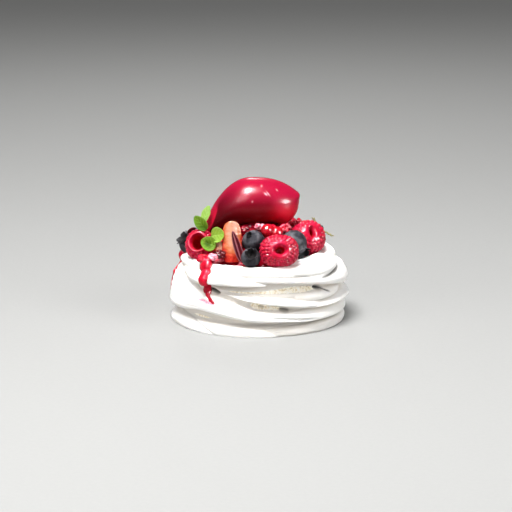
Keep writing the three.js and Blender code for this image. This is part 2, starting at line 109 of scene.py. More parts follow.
def from_front(radius: float, turn: float, height: float) -> Vector:
    """Returns the point so far from the part's axis, at a turn from the front in radians."""
    return Vector((radius * math.sin(turn), -radius * math.cos(turn), height))


def ring_turn(column: int, columns: int) -> float:
    """Returns a column's turn in radians, where the columns close into a ring."""
    return 2 * math.pi * (column % columns) / columns


def spun(radius: float, turn: float, height: float) -> Vector:
    """Returns the point so far from a fruit's own +Z axis, at a turn round it in radians."""
    return Vector((radius * math.cos(turn), radius * math.sin(turn), height))


def heading(azimuth: float, elevation: float) -> Vector:
    """Returns the unit vector of an azimuth from the front and an elevation, in degrees."""
    flat = math.cos(math.radians(elevation))
    turn = math.radians(azimuth)
    return Vector((flat * math.sin(turn), -flat * math.cos(turn), math.sin(math.radians(elevation))))


def placement(at: Place, facing: Facing) -> Matrix:
    """Places a shape made along +Z so that it faces a heading, with its +Y side kept upward.

    Args:
        at: where the shape's own origin goes, in millimetres.
        facing: azimuth and elevation of its +Z axis.

    Returns:
        The matrix, in millimetres.
    """
    forward = heading(*facing)
    side = Vector((0, 0, 1)).cross(forward).normalized()
    up = forward.cross(side)
    turned = Matrix((side, up, forward)).transposed().to_4x4()
    return Matrix.Translation(at) @ turned


def station_values(stations: Stations, place: float) -> list[float] | None:
    """Reads a smooth curve through a list of stations.

    Args:
        stations: rows of numbers that rise in their first number.
        place: where to read, in terms of the first number.

    Returns:
        The other numbers of the row there, or nothing outside the stations.
    """
    last = len(stations) - 1
    if not stations[0][0] <= place <= stations[last][0]:
        return None
    i = next(n for n in range(1, last + 1) if stations[n][0] >= place)
    before, after = stations[i - 1], stations[i]
    span = after[0] - before[0]
    t = (place - before[0]) / span
    first, far = stations[max(i - 2, 0)], stations[min(i + 1, last)]
    values = []
    for n in range(1, len(before)):
        slope_in = (after[n] - first[n]) / (after[0] - first[0])
        slope_out = (far[n] - before[n]) / (far[0] - before[0])
        values.append(
            before[n] * (1 + 2 * t) * (1 - t) ** 2 + after[n] * t * t * (3 - 2 * t)
            + slope_in * span * t * (1 - t) ** 2 - slope_out * span * t * t * (1 - t))
    return values


class SmoothCurve:
    """A smooth curve through points, read by the distance along it."""

    def __init__(self, points: Stations, steps: int = 40) -> None:
        """Keeps a table of places along the curve.

        Args:
            points: flat or solid points, in millimetres.
            steps: straight pieces in each span.
        """
        knots = [Vector(p) for p in points]
        last = len(knots) - 1
        self.places: list[Vector] = []
        for i in range(last):
            p0, p1, p2, p3 = knots[max(i - 1, 0)], knots[i], knots[i + 1], knots[min(i + 2, last)]
            for n in range(steps):
                self.places.append(self.between(p0, p1, p2, p3, n / steps))
        self.places.append(knots[last])
        self.runs = [0.0]
        for a, b in zip(self.places, self.places[1:]):
            self.runs.append(self.runs[-1] + (b - a).length)
        self.length = self.runs[-1]

    @staticmethod
    def between(p0: Vector, p1: Vector, p2: Vector, p3: Vector, t: float) -> Vector:
        """Returns the point a share t of the way from p1 to p2, with p0 and p3 beyond them."""
        v1, v2 = (p2 - p0) / 2, (p3 - p1) / 2
        return (2 * (p1 - p2) + v1 + v2) * t ** 3 + (3 * (p2 - p1) - 2 * v1 - v2) * t * t + v1 * t + p1

    def at(self, distance: float) -> tuple[Vector, Vector]:
        """Reads the curve.

        Args:
            distance: how far along it.

        Returns:
            The point there and the curve's direction.
        """
        low, high = 0, len(self.runs) - 1
        while high - low > 1:
            middle = (low + high) // 2
            if self.runs[middle] <= distance:
                low = middle
            else:
                high = middle
        a, b = self.places[low], self.places[high]
        share = (distance - self.runs[low]) / (self.runs[high] - self.runs[low])
        return a.lerp(b, min(max(share, 0.0), 1.0)), (b - a).normalized()


# Materials

MULTIPLY = {"operation": "MULTIPLY"}
MULTIPLY_ADD = {"operation": "MULTIPLY_ADD"}
SMOOTH_STEP = {"interpolation_type": "SMOOTHSTEP"}


class Slot(Enum):
    """Names of material slots."""

    MERINGUE = "meringue"
    COULIS = "coulis"
    SORBET = "sorbet"
    RASPBERRY = "raspberry"
    BLUEBERRY = "blueberry"
    STRAWBERRY = "strawberry"
    CURRANT = "currant"
    MICRO_LEAF = "micro_leaf"
    DARK_LEAF = "dark_leaf"
    HERB = "herb"


@dataclass(frozen=True)
class Gloss:
    """How light meets a surface: the values that are the same all over it.

    The wet skins have a low IOR, because a pale floor mirrored in them would grey their colour;
    their highlights come from the coat and from the lights that act on gloss alone.
    """

    roughness: float
    ior: float = 1.42
    coat: float = 0.0
    coat_roughness: float = 0.1
    glow: float = 0.0
    glow_depth: tuple[float, float, float] = (1.2, 0.5, 0.4)
    sheen: float = 0.0


class Recipe:
    """A material's node tree and its one shader."""

    def __init__(self, name: str, gloss: Gloss) -> None:
        """Makes the material with its shader.

        Args:
            name: the material's name.
            gloss: how light meets it.
        """
        self.material = bpy.data.materials.new(name)
        self.material.use_nodes = True
        self.tree = self.material.node_tree
        self.tree.nodes.clear()
        self.shader = self.add("BsdfPrincipled", inputs={
            "Roughness": gloss.roughness, "IOR": gloss.ior, "Coat Weight": gloss.coat,
            "Coat Roughness": gloss.coat_roughness, "Subsurface Weight": gloss.glow,
            "Subsurface Radius": gloss.glow_depth, "Subsurface Scale": MM, "Sheen Weight": gloss.sheen})
        self.add("OutputMaterial", inputs={"Surface": self.shader.outputs[0]})
        self.place = self.add("TexCoord").outputs["Object"]

    def add(
        self, kind: str, settings: Mapping[str, Any] | None = None,
        inputs: Mapping[str | int, Any] | None = None,
    ) -> bpy.types.Node:
        """Adds a node with its settings and links.

        Args:
            kind: the node's type, without the words that every shader node's type starts with.
            settings: its properties; stops are the places and colours of a colour ramp.
            inputs: what its inputs take: another node's output, a hex colour or a plain value.

        Returns:
            The node.
        """
        node = self.tree.nodes.new("ShaderNode" + kind)
        for key, value in (settings or {}).items():
            if key == "stops":
                ramp = node.color_ramp.elements
                while len(ramp) < len(value):
                    ramp.new(1.0)
                for stop, (place, shade) in zip(ramp, value):
                    stop.position = place
                    stop.color = linear(shade)
            else:
                setattr(node, key, value)
        for key, value in (inputs or {}).items():
            if isinstance(value, bpy.types.NodeSocket):
                self.tree.links.new(value, node.inputs[key])
            else:
                node.inputs[key].default_value = linear(value) if isinstance(value, str) else value
        return node

    def painted(self, colour: Any, layers: Sequence[tuple[Any, Any]]) -> bpy.types.NodeSocket:
        """Lays colours over a first one, each through its mask.

        Args:
            colour: the first colour.
            layers: pairs of a mask and a colour, from the lowest up.

        Returns:
            The finished colour.
        """
        for mask, shade in layers:
            colour = self.add("Mix", {"data_type": "RGBA"}, {0: mask, 6: colour, 7: shade}).outputs[2]
        return colour

    def done(
        self, colour: Any, relief: Any = None, depth: float = 0.2, roughness: Any = None,
    ) -> Material:
        """Links the finished patterns to the shader.

        Args:
            colour: the colour.
            relief: a height from 0 to 1, if the surface has any.
            depth: what a height of 1 is worth, in millimetres.
            roughness: a roughness that changes over the surface.

        Returns:
            The material.
        """
        self.tree.links.new(colour, self.shader.inputs["Base Color"])
        if relief is not None:
            bump = self.add("Bump", inputs={"Height": relief, "Distance": depth * MM, "Strength": 1.0})
            self.tree.links.new(bump.outputs[0], self.shader.inputs["Normal"])
        if roughness is not None:
            self.tree.links.new(roughness, self.shader.inputs["Roughness"])
        return self.material


@dataclass(frozen=True)
class BakedMeringue:
    """Whipped egg white and sugar, dried in a low oven: a satin white skin over a dry crumb.

    It gives a bright chalky white with fine drag lines along each ribbon. Where a fold tore open,
    the crumb inside shows cream and full of pinholes, and near the rim juice has soaked in. Painted
    shade greys the recesses between the ribbons and darkens the deepest creases and the undersides of
    overhangs almost to black, where a few dark cracks are drawn as well.
    """

    white: str = "#F2F1EF"
    cream: str = "#ECE9E4"
    # Painted shade: the grey of the recesses between the ribbons.
    hollow: str = "#DAD2C8"
    crumb: tuple[tuple[float, str], ...] = ((0.36, "#DCC8A2"), (0.47, "#FFF4DE"), (0.62, "#FFFBF2"))
    # Painted shade: the near black of the deepest creases and of the undersides of overhangs, which also
    # draws a few dark cracks.
    crevice_shade: str = "#2E2A25"
    juice: str = "#C4183A"
    thin_juice: str = "#F2A0AE"
    line_width: float = 0.8
    mottle_width: float = 7.0
    grain_width: float = 1.3
    pore_width: float = 0.55
    relief: float = 0.27

    def material(self) -> Material:
        """Returns the meringue's material, which reads the nest's own attributes.

        The flow attribute holds the turn round the nest, as a point of a unit circle, and the
        millimetres across a ribbon, so that the drag lines follow the ribbons.
        """
        recipe = Recipe("baked_meringue", Gloss(0.6, ior=1.3, glow=0.12, glow_depth=(1.6, 1.3, 1.0)))
        add, place = recipe.add, recipe.place
        cavity, torn, dark, stain = [
            add("Attribute", {"attribute_name": name}).outputs["Fac"]
            for name in ("cavity", "torn", "dark", "stain")]
        flow = add("Attribute", {"attribute_name": "flow"}).outputs["Vector"]
        drag = add("Mapping", inputs={"Vector": flow, "Scale": (4.0, 4.0, 1 / self.line_width)}).outputs[0]
        lines = add("TexNoise", inputs={
            "Vector": drag, "Scale": 1.0, "Detail": 3.0, "Roughness": 0.6}).outputs["Fac"]
        mottle = add("TexNoise", inputs={
            "Vector": place, "Scale": per_mm(self.mottle_width), "Detail": 2.0}).outputs["Fac"]
        grain = add("TexNoise", inputs={
            "Vector": place, "Scale": per_mm(self.grain_width),
            "Detail": 5.0, "Roughness": 0.65}).outputs["Fac"]
        pores = add("TexVoronoi", {"feature": "F1"}, {"Vector": place, "Scale": per_mm(self.pore_width)})
        crumb = add("ValToRGB", {"stops": self.crumb}, {"Fac": grain}).outputs[0]
        ragged, soaked = [
            add("Math", MULTIPLY_ADD, {0: grain, 1: 0.9, 2: mask}).outputs[0] for mask in (torn, stain)]
        open_crumb, film, juice = [
            add("MapRange", SMOOTH_STEP, {"Value": mask, "From Min": low, "From Max": high}).outputs[0]
            for mask, low, high in ((ragged, 0.86, 1.02), (soaked, 0.66, 0.9), (soaked, 0.95, 1.15))]
        # Painted shade: the recesses are greyed, and the grooves' dark mask lays near black in the creases.
        shade = add("Math", MULTIPLY, {0: cavity, 1: 0.75}).outputs[0]
        colour = recipe.painted(self.white, [
            (mottle, self.cream), (shade, self.hollow), (open_crumb, crumb), (film, self.thin_juice),
            (juice, self.juice), (dark, self.crevice_shade)])
        holes = add("Math", MULTIPLY, {0: pores.outputs["Distance"], 1: open_crumb}).outputs[0]
        relief = add("Math", {"operation": "ADD"}, {0: holes, 1: lines}).outputs[0]
        rough = add("MapRange", inputs={"Value": open_crumb, "To Min": 0.58, "To Max": 0.95}).outputs[0]
        return recipe.done(colour, relief, self.relief, rough)


@dataclass(frozen=True)
class FruitSauce:
    """Raspberry coulis, sieved and thickened with sugar: clear red, wet and glossy."""

    dark_bit: str = "#3A0309"
    deep: str = "#8A081A"
    bright: str = "#C81230"
    pale: str = "#F0A6B6"
    levels: tuple[float, ...] = (0.22, 0.45, 0.75, 1.0)
    pulp_width: float = 2.2
    relief: float = 0.25

    def material(self) -> Material:
        """Returns the sauce's material; the tint attribute runs from dark to pale, with painted shade on the
        heap.
        """
        recipe = Recipe("raspberry_coulis", Gloss(
            0.13, ior=1.2, coat=0.12, coat_roughness=0.05, glow=0.1, glow_depth=(1.8, 0.4, 0.3)))
        add, place = recipe.add, recipe.place
        tint = add("Attribute", {"attribute_name": "tint"}).outputs["Fac"]
        pulp = add("TexNoise", inputs={
            "Vector": place, "Scale": per_mm(self.pulp_width), "Detail": 3.0}).outputs["Fac"]
        mixed = add("Math", MULTIPLY_ADD, {0: pulp, 1: 0.5, 2: tint}).outputs[0]
        stops = list(zip(self.levels, (self.dark_bit, self.deep, self.bright, self.pale)))
        colour = add("ValToRGB", {"stops": stops}, {"Fac": mixed}).outputs[0]
        return recipe.done(colour, pulp, self.relief)


@dataclass(frozen=True)
class RedSorbet:
    """Berry sorbet shaped between two spoons: frozen, smooth, and just starting to thaw.

    The melting skin gives small sharp lights over a wide soft one, and the fine ice gives a faint
    grain. Its colour holds painted light and shade: it darkens from its crimson top downwards, most
    of all in painted shade beside the left end, and painted light gives a clear red low on the right
    end and on the left lobe. The spoon's scuffs are painted pale: frosted, and painted highlight
    where their ridges catch the light. The real ice is finer than the width given here, which is
    what shows in a picture.
    """

    # Painted light and shade: the ramp from top to foot darkens the sorbet from the top down, the deep colour
    # is painted shade beside the left lobe, and the clear red after it is painted light.
    top: str = "#960C2E"
    middle: str = "#6A0717"
    low: str = "#6A0810"
    foot: str = "#76090F"
    deep: str = "#3C0408"
    warm: str = "#D6142C"
    ice_light: str = "#F58AA0"
    # The scuffs' pale colour: frosted ice, and painted highlight where their ridges catch the light.
    frost_and_highlight: str = "#FFC4D0"
    levels: tuple[float, ...] = (0.0, 0.22, 0.55, 1.0)
    cloud_width: float = 9.0
    ice_width: float = 0.5
    relief: float = 0.04

    def material(self) -> Material:
        """Returns the sorbet's material, with painted shade from the top of the quenelle down."""
        recipe = Recipe("berry_sorbet", Gloss(
            0.27, ior=1.18, coat=0.06, coat_roughness=0.18, glow=0.05, glow_depth=(1.6, 0.3, 0.2)))
        add, place = recipe.add, recipe.place
        # These masks lay painted light and shade: the level from top to foot, the shade beside the left lobe,
        # and the clear red painted light.
        light_level, scuff, warm, shade = [
            add("Attribute", {"attribute_name": name}).outputs["Fac"]
            for name in ("level", "scuff", "warm", "shade")]
        cloud = add("TexNoise", inputs={
            "Vector": place, "Scale": per_mm(self.cloud_width), "Detail": 2.0}).outputs["Fac"]
        ice = add("TexNoise", inputs={
            "Vector": place, "Scale": per_mm(self.ice_width), "Detail": 3.0}).outputs["Fac"]
        level = add("Math", MULTIPLY_ADD, {0: cloud, 1: 0.1, 2: light_level}).outputs[0]
        stops = list(zip(self.levels, (self.foot, self.low, self.middle, self.top)))
        colour = add("ValToRGB", {"stops": stops}, {"Fac": level}).outputs[0]
        glint = add("MapRange", inputs={
            "Value": ice, "From Min": 0.62, "From Max": 0.8, "To Max": 0.05}).outputs[0]
        rough = add("MapRange", inputs={"Value": cloud, "To Min": 0.2, "To Max": 0.27}).outputs[0]
        colour = recipe.painted(colour, [
            (shade, self.deep), (warm, self.warm), (glint, self.ice_light), (scuff, self.frost_and_highlight)])
        return recipe.done(colour, ice, self.relief, rough)


@dataclass(frozen=True)
class RaspberrySkin:
    """Fresh raspberry: thin-skinned drupelets full of juice, matt, with painted shade where they meet."""

    bright: str = "#BE163C"
    deep: str = "#A20A28"
    # Painted shade in the creases between drupelets.
    crease: str = "#8C0C22"
    hollow: str = "#A8060F"
    bloom: str = "#D85272"
    patch_width: float = 5.0
    fuzz_width: float = 0.5
    relief: float = 0.03

    def material(self) -> Material:
        """Returns the raspberry's material, with painted shade in its creases and its hollow darker."""
        recipe = Recipe("raspberry_drupelets", Gloss(
            0.18, ior=1.16, coat=0.18, coat_roughness=0.05, glow=0.1, glow_depth=(1.6, 0.35, 0.3),
            sheen=0.01))
        add, place = recipe.add, recipe.place
        crease, hollow = [
            add("Attribute", {"attribute_name": name}).outputs["Fac"] for name in ("crease", "hollow")]
        patches, fuzz = [
            add("TexNoise", inputs={"Vector": place, "Scale": per_mm(width), "Detail": 2.0}).outputs["Fac"]
            for width in (self.patch_width, self.fuzz_width)]
        ripe = add("MapRange", inputs={"Value": patches, "From Min": 0.35, "From Max": 0.65}).outputs[0]
        down = add("MapRange", inputs={
            "Value": fuzz, "From Min": 0.5, "From Max": 0.8, "To Max": 0.1}).outputs[0]
        # Painted shade: the creases between drupelets are darkened.
        crease_shade = add("MapRange", SMOOTH_STEP, {
            "Value": crease, "From Min": 0.5, "From Max": 1.0, "To Max": 0.35}).outputs[0]
        colour = recipe.painted(self.deep, [
            (ripe, self.bright), (down, self.bloom), (crease_shade, self.crease), (hollow, self.hollow)])
        return recipe.done(colour, fuzz, self.relief)


@dataclass(frozen=True)
class BlueberrySkin:
    """Fresh blueberry: near-black skin under a pale waxy bloom that fingers have worn off in patches.

    The bloom gives a dull grey blue and the bare skin a darker shine. Painted light and shade make
    the skin lighter on its upper side and darker below, and fade the bloom patches out below.
    """

    skin: str = "#111115"
    bloom: str = "#4E4D52"
    # Painted light: the skin's colour on its upper side.
    top_lit_skin: str = "#25252C"
    crown: str = "#1A1518"
    pit: str = "#080405"
    patch_width: float = 3.6
    speck_width: float = 0.6
    relief: float = 0.05

    def material(self) -> Material:
        """Returns the blueberry's material, with its crown and pit darker."""
        recipe = Recipe("blueberry_bloom", Gloss(0.5, ior=1.18, coat=0.02, coat_roughness=0.3))
        add, place = recipe.add, recipe.place
        crown, pit = [add("Attribute", {"attribute_name": name}).outputs["Fac"] for name in ("crown", "pit")]
        patches = add("TexNoise", inputs={
            "Vector": place, "Scale": per_mm(self.patch_width),
            "Detail": 4.0, "Roughness": 0.6}).outputs["Fac"]
        specks = add("TexNoise", inputs={
            "Vector": place, "Scale": per_mm(self.speck_width), "Detail": 2.0}).outputs["Fac"]
        upward = add("SeparateXYZ", inputs={0: add("NewGeometry").outputs["Normal"]}).outputs["Z"]
        # Painted light and shade: lighter on the upward side, darker below; the bloom patches fade out below
        # too.
        top_light = add("MapRange", inputs={"Value": upward, "From Min": -0.9, "From Max": 0.7}).outputs[0]
        wax = add("MapRange", SMOOTH_STEP, {"Value": patches, "From Min": 0.38, "From Max": 0.62}).outputs[0]
        wax_in_top_light = add("Math", MULTIPLY, {0: wax, 1: top_light}).outputs[0]
        dust = add("MapRange", inputs={
            "Value": specks, "From Min": 0.5, "From Max": 0.8, "To Max": 0.25}).outputs[0]
        colour = recipe.painted(self.skin, [
            (top_light, self.top_lit_skin), (wax_in_top_light, self.bloom), (dust, self.bloom),
            (crown, self.crown), (pit, self.pit)])
        dull = add("Math", {"operation": "MAXIMUM"}, {0: wax, 1: pit}).outputs[0]
        rough = add("MapRange", inputs={"Value": dull, "To Min": 0.36, "To Max": 0.8}).outputs[0]
        return recipe.done(colour, specks, self.relief, rough)


@dataclass(frozen=True)
class StrawberryFlesh:
    """Cut ripe strawberry: a wet cut face with pale fibres, red towards a seeded skin."""

    heart: str = "#CA9074"
    flesh: str = "#C2683E"
    edge: str = "#C13926"
    skin: str = "#AC0D15"
    seed: str = "#E6B45A"
    levels: tuple[float, ...] = (0.2, 0.36, 0.62, 1.0)
    relief: float = 0.3

    def material(self) -> Material:
        """Returns the strawberry's material; depth is 0 at the skin and 1 in the heart."""
        recipe = Recipe("cut_strawberry", Gloss(
            0.26, ior=1.22, coat=0.12, coat_roughness=0.1, glow=0.2, glow_depth=(1.6, 0.7, 0.5)))
        add = recipe.add
        depth, skin, seed = [
            add("Attribute", {"attribute_name": name}).outputs["Fac"] for name in ("depth", "skin", "seed")]
        flow = add("Attribute", {"attribute_name": "flow"}).outputs["Vector"]
        strands = add("Mapping", inputs={"Vector": flow, "Scale": (0.7, 0.7, 0.8)}).outputs[0]
        fibres = add("TexNoise", inputs={"Vector": strands, "Scale": 1.0, "Detail": 3.0}).outputs["Fac"]
        level = add("Math", MULTIPLY_ADD, {0: fibres, 1: 0.5, 2: depth}).outputs[0]
        stops = list(zip(self.levels, (self.skin, self.edge, self.flesh, self.heart)))
        base = add("ValToRGB", {"stops": stops}, {"Fac": level}).outputs[0]
        return recipe.done(recipe.painted(base, [(skin, self.skin), (seed, self.seed)]), fibres, self.relief)


@dataclass(frozen=True)
class CurrantSkin:
    """Red currant: a taut clear skin over juice and seeds, so it glows and shines."""

    deep: str = "#8E0612"
    bright: str = "#AE0A1C"
    calyx: str = "#4A2A14"
    seed_width: float = 2.6
    relief: float = 0.02

    def material(self) -> Material:
        """Returns the currant's material, with its dry calyx brown."""
        recipe = Recipe("red_currant", Gloss(
            0.12, ior=1.22, coat=0.45, coat_roughness=0.05, glow=0.1, glow_depth=(2.0, 0.3, 0.2)))
        add, place = recipe.add, recipe.place
        calyx = add("Attribute", {"attribute_name": "calyx"}).outputs["Fac"]
        cells = add("TexVoronoi", inputs={
            "Vector": place, "Scale": per_mm(self.seed_width)}).outputs["Distance"]
        seeds = add("MapRange", inputs={"Value": cells, "From Max": 0.8}).outputs[0]
        colour = recipe.painted(self.deep, [(seeds, self.bright), (calyx, self.calyx)])
        return recipe.done(colour, seeds, self.relief)


@dataclass(frozen=True)
class CressLeaf:
    """Young leaf, green or dark red: a thin satin blade, paler along its veins and at its edge.

    On the striped red leaf the pale stripes are painted highlight: lines of light on a glossy blade.
    """

    name: str
    blade: str
    base: str
    edge: str
    # Painted shade: the colour of the blade's cupped middle.
    centre: str = "#34560C"
    mottle_width: float = 1.2
    relief: float = 0.1

    def material(self) -> Material:
        """Returns the leaf's material; along and across are its own blade directions."""
        recipe = Recipe(self.name, Gloss(
            0.5, ior=1.1, coat_roughness=0.2, glow=0.12, glow_depth=(0.8, 1.0, 0.3)))
        add, place = recipe.add, recipe.place
        along, across, vein, dip = [
            add("Attribute", {"attribute_name": name}).outputs["Fac"]
            for name in ("along", "across", "vein", "dip")]
        mottle = add("TexNoise", inputs={
            "Vector": place, "Scale": per_mm(self.mottle_width), "Detail": 3.0}).outputs["Fac"]
        ragged = add("Math", MULTIPLY_ADD, {0: mottle, 1: 0.5, 2: along}).outputs[0]
        tip = add("MapRange", inputs={"Value": ragged, "From Min": 0.2, "From Max": 1.1}).outputs[0]
        rim = add("MapRange", SMOOTH_STEP, {
            "Value": across, "From Min": 0.72, "From Max": 1.0, "To Max": 0.5}).outputs[0]
        colour = recipe.painted(self.base, [
            (tip, self.blade), (rim, self.edge), (vein, self.edge), (dip, self.centre)])
        veins = add("Math", MULTIPLY_ADD, {0: mottle, 1: 0.4, 2: vein}).outputs[0]
        return recipe.done(colour, veins, self.relief)


@dataclass(frozen=True)
class HerbNeedle:
    """Fine herb: an olive stem with needle leaves whose tips have dried brown."""

    green: str = "#66701F"
    dry: str = "#857036"
    patch_width: float = 1.6
    relief: float = 0.15

    def material(self) -> Material:
        """Returns the herb's material, mottled from green to dry."""
        recipe = Recipe("fine_herb", Gloss(0.6, ior=1.45))
        patches = recipe.add("TexNoise", inputs={
            "Vector": recipe.place, "Scale": per_mm(self.patch_width), "Detail": 2.0}).outputs["Fac"]
        dried = recipe.add("MapRange", inputs={
            "Value": patches, "From Min": 0.38, "From Max": 0.62}).outputs[0]
        return recipe.done(recipe.painted(self.green, [(dried, self.dry)]), patches, self.relief)


@dataclass(frozen=True)
class SatinPaper:
    """Pale matt paper, pressed with a faint tooth, for the studio floor."""

    shade: str = "#8D8D8C"
    tooth: str = "#91918F"
    tooth_width: float = 2.0

    def material(self) -> Material:
        """Returns the paper's material, with a faint tooth."""
        recipe = Recipe("studio_paper", Gloss(0.9, ior=1.3))
        tooth = recipe.add("TexNoise", inputs={
            "Vector": recipe.place, "Scale": per_mm(self.tooth_width)}).outputs["Fac"]
        return recipe.done(recipe.painted(self.shade, [(tooth, self.tooth)]))


# Mesh helpers


def grid(columns: int, rows: int, place: Callable[[int, int], Vector]) -> Mesh:
    """Makes a grid and moves each of its vertices onto a surface.

    Args:
        columns: squares across.
        rows: squares up.
        place: gives the place, in millimetres, of a column and a row.

    Returns:
        The mesh, not yet closed.
    """
    bm = bmesh.new()
    bmesh.ops.create_grid(bm, x_segments=columns, y_segments=rows, size=0.5)
    column_mark = bm.verts.layers.int.new("column")
    row_mark = bm.verts.layers.int.new("row")
    for vert in bm.verts:
        column, row = round((vert.co.x + 0.5) * columns), round((vert.co.y + 0.5) * rows)
        vert[column_mark], vert[row_mark] = column, row
        vert.co = place(column, row) * MM
    return bm


def closed(bm: Mesh) -> Mesh:
    """Joins a mesh along its seams and at its poles, and turns its faces outward.

    Args:
        bm: the mesh.

    Returns:
        The same mesh.
    """
    bmesh.ops.remove_doubles(bm, verts=bm.verts, dist=1e-7)
    bmesh.ops.dissolve_degenerate(bm, edges=bm.edges, dist=1e-8)
    bmesh.ops.recalc_face_normals(bm, faces=bm.faces)
    bm.normal_update()
    return bm


def marked(bm: Mesh, name: str, value: Callable[[Vert], float]) -> None:
    """Gives each vertex a number under a name that the materials read."""
    layer = bm.verts.layers.float.get(name) or bm.verts.layers.float.new(name)
    for vert in bm.verts:
        vert[layer] = value(vert)


def moved(bm: Mesh, matrix: Matrix) -> None:
    """Moves a whole mesh by a matrix whose shifts are millimetres."""
    metres = matrix.copy()
    metres.translation = matrix.translation * MM
    bmesh.ops.transform(bm, matrix=metres, verts=bm.verts)


def shifted(bm: Mesh, shifts: Sequence[Vector]) -> None:
    """Moves each vertex by a shift of its own, in metres."""
    for vert, shift in zip(bm.verts, shifts):
        vert.co += shift


def search_tree(places: Sequence[Vector]) -> kdtree.KDTree:
    """Returns a tree that finds the nearest of some places."""
    tree = kdtree.KDTree(len(places))
    for n, place in enumerate(places):
        tree.insert(place, n)
    tree.balance()
    return tree


def raise_domes(
    bm: Mesh, centres: Sequence[Vector], radius: float, relief: float,
    weight: Callable[[Vert], float] = lambda vert: 1.0,
) -> None:
    """Swells a smooth surface into domes, with an attribute that is 1 in the creases between them.

    The surface moves in by a dome's mean height, so that the shape keeps its size.

    Args:
        bm: the mesh.
        centres: the domes' middles on the surface, in millimetres.
        radius: how far each dome reaches, in millimetres.
        relief: how high a dome stands, in millimetres.
        weight: how much of the relief a vertex gets, from 0 to 1.
    """
    tree = search_tree([centre * MM for centre in centres])
    bm.normal_update()
    layer = bm.verts.layers.float.new("crease")
    shifts = []
    for vert in bm.verts:
        distance = tree.find(vert.co)[2] / (radius * MM)
        dome = math.sqrt(max(0.0, 1 - distance * distance))
        share = weight(vert)
        vert[layer] = (1 - dome) * share
        shifts.append(vert.normal * (dome - MEAN_DOME) * relief * share * MM)
    shifted(bm, shifts)


def linked(name: str, data: bpy.types.ID) -> bpy.types.Object:
    """Makes an object of a mesh, a light or a camera, and links it to the scene."""
    item = bpy.data.objects.new(name, data)
    bpy.context.scene.collection.objects.link(item)
    return item


def piece(
    name: str, bm: Mesh, material: Material, nodes: Sequence[str],
) -> None:
    """Makes a finished piece that rides on the part and stands for its CAD nodes.

    Args:
        name: the piece's name.
        bm: its mesh, which is used up.
        material: its material.
        nodes: the CAD nodes that it replaces.
    """
    mesh = bpy.data.meshes.new(name)
    bm.to_mesh(mesh)
    bm.free()
    mesh.shade_smooth()
    mesh.materials.append(material)
    item = linked(name, mesh)
    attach(item, BODY)
    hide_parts(*nodes)
    log.info("%s: %d vertices", name, len(mesh.vertices))


# The nest


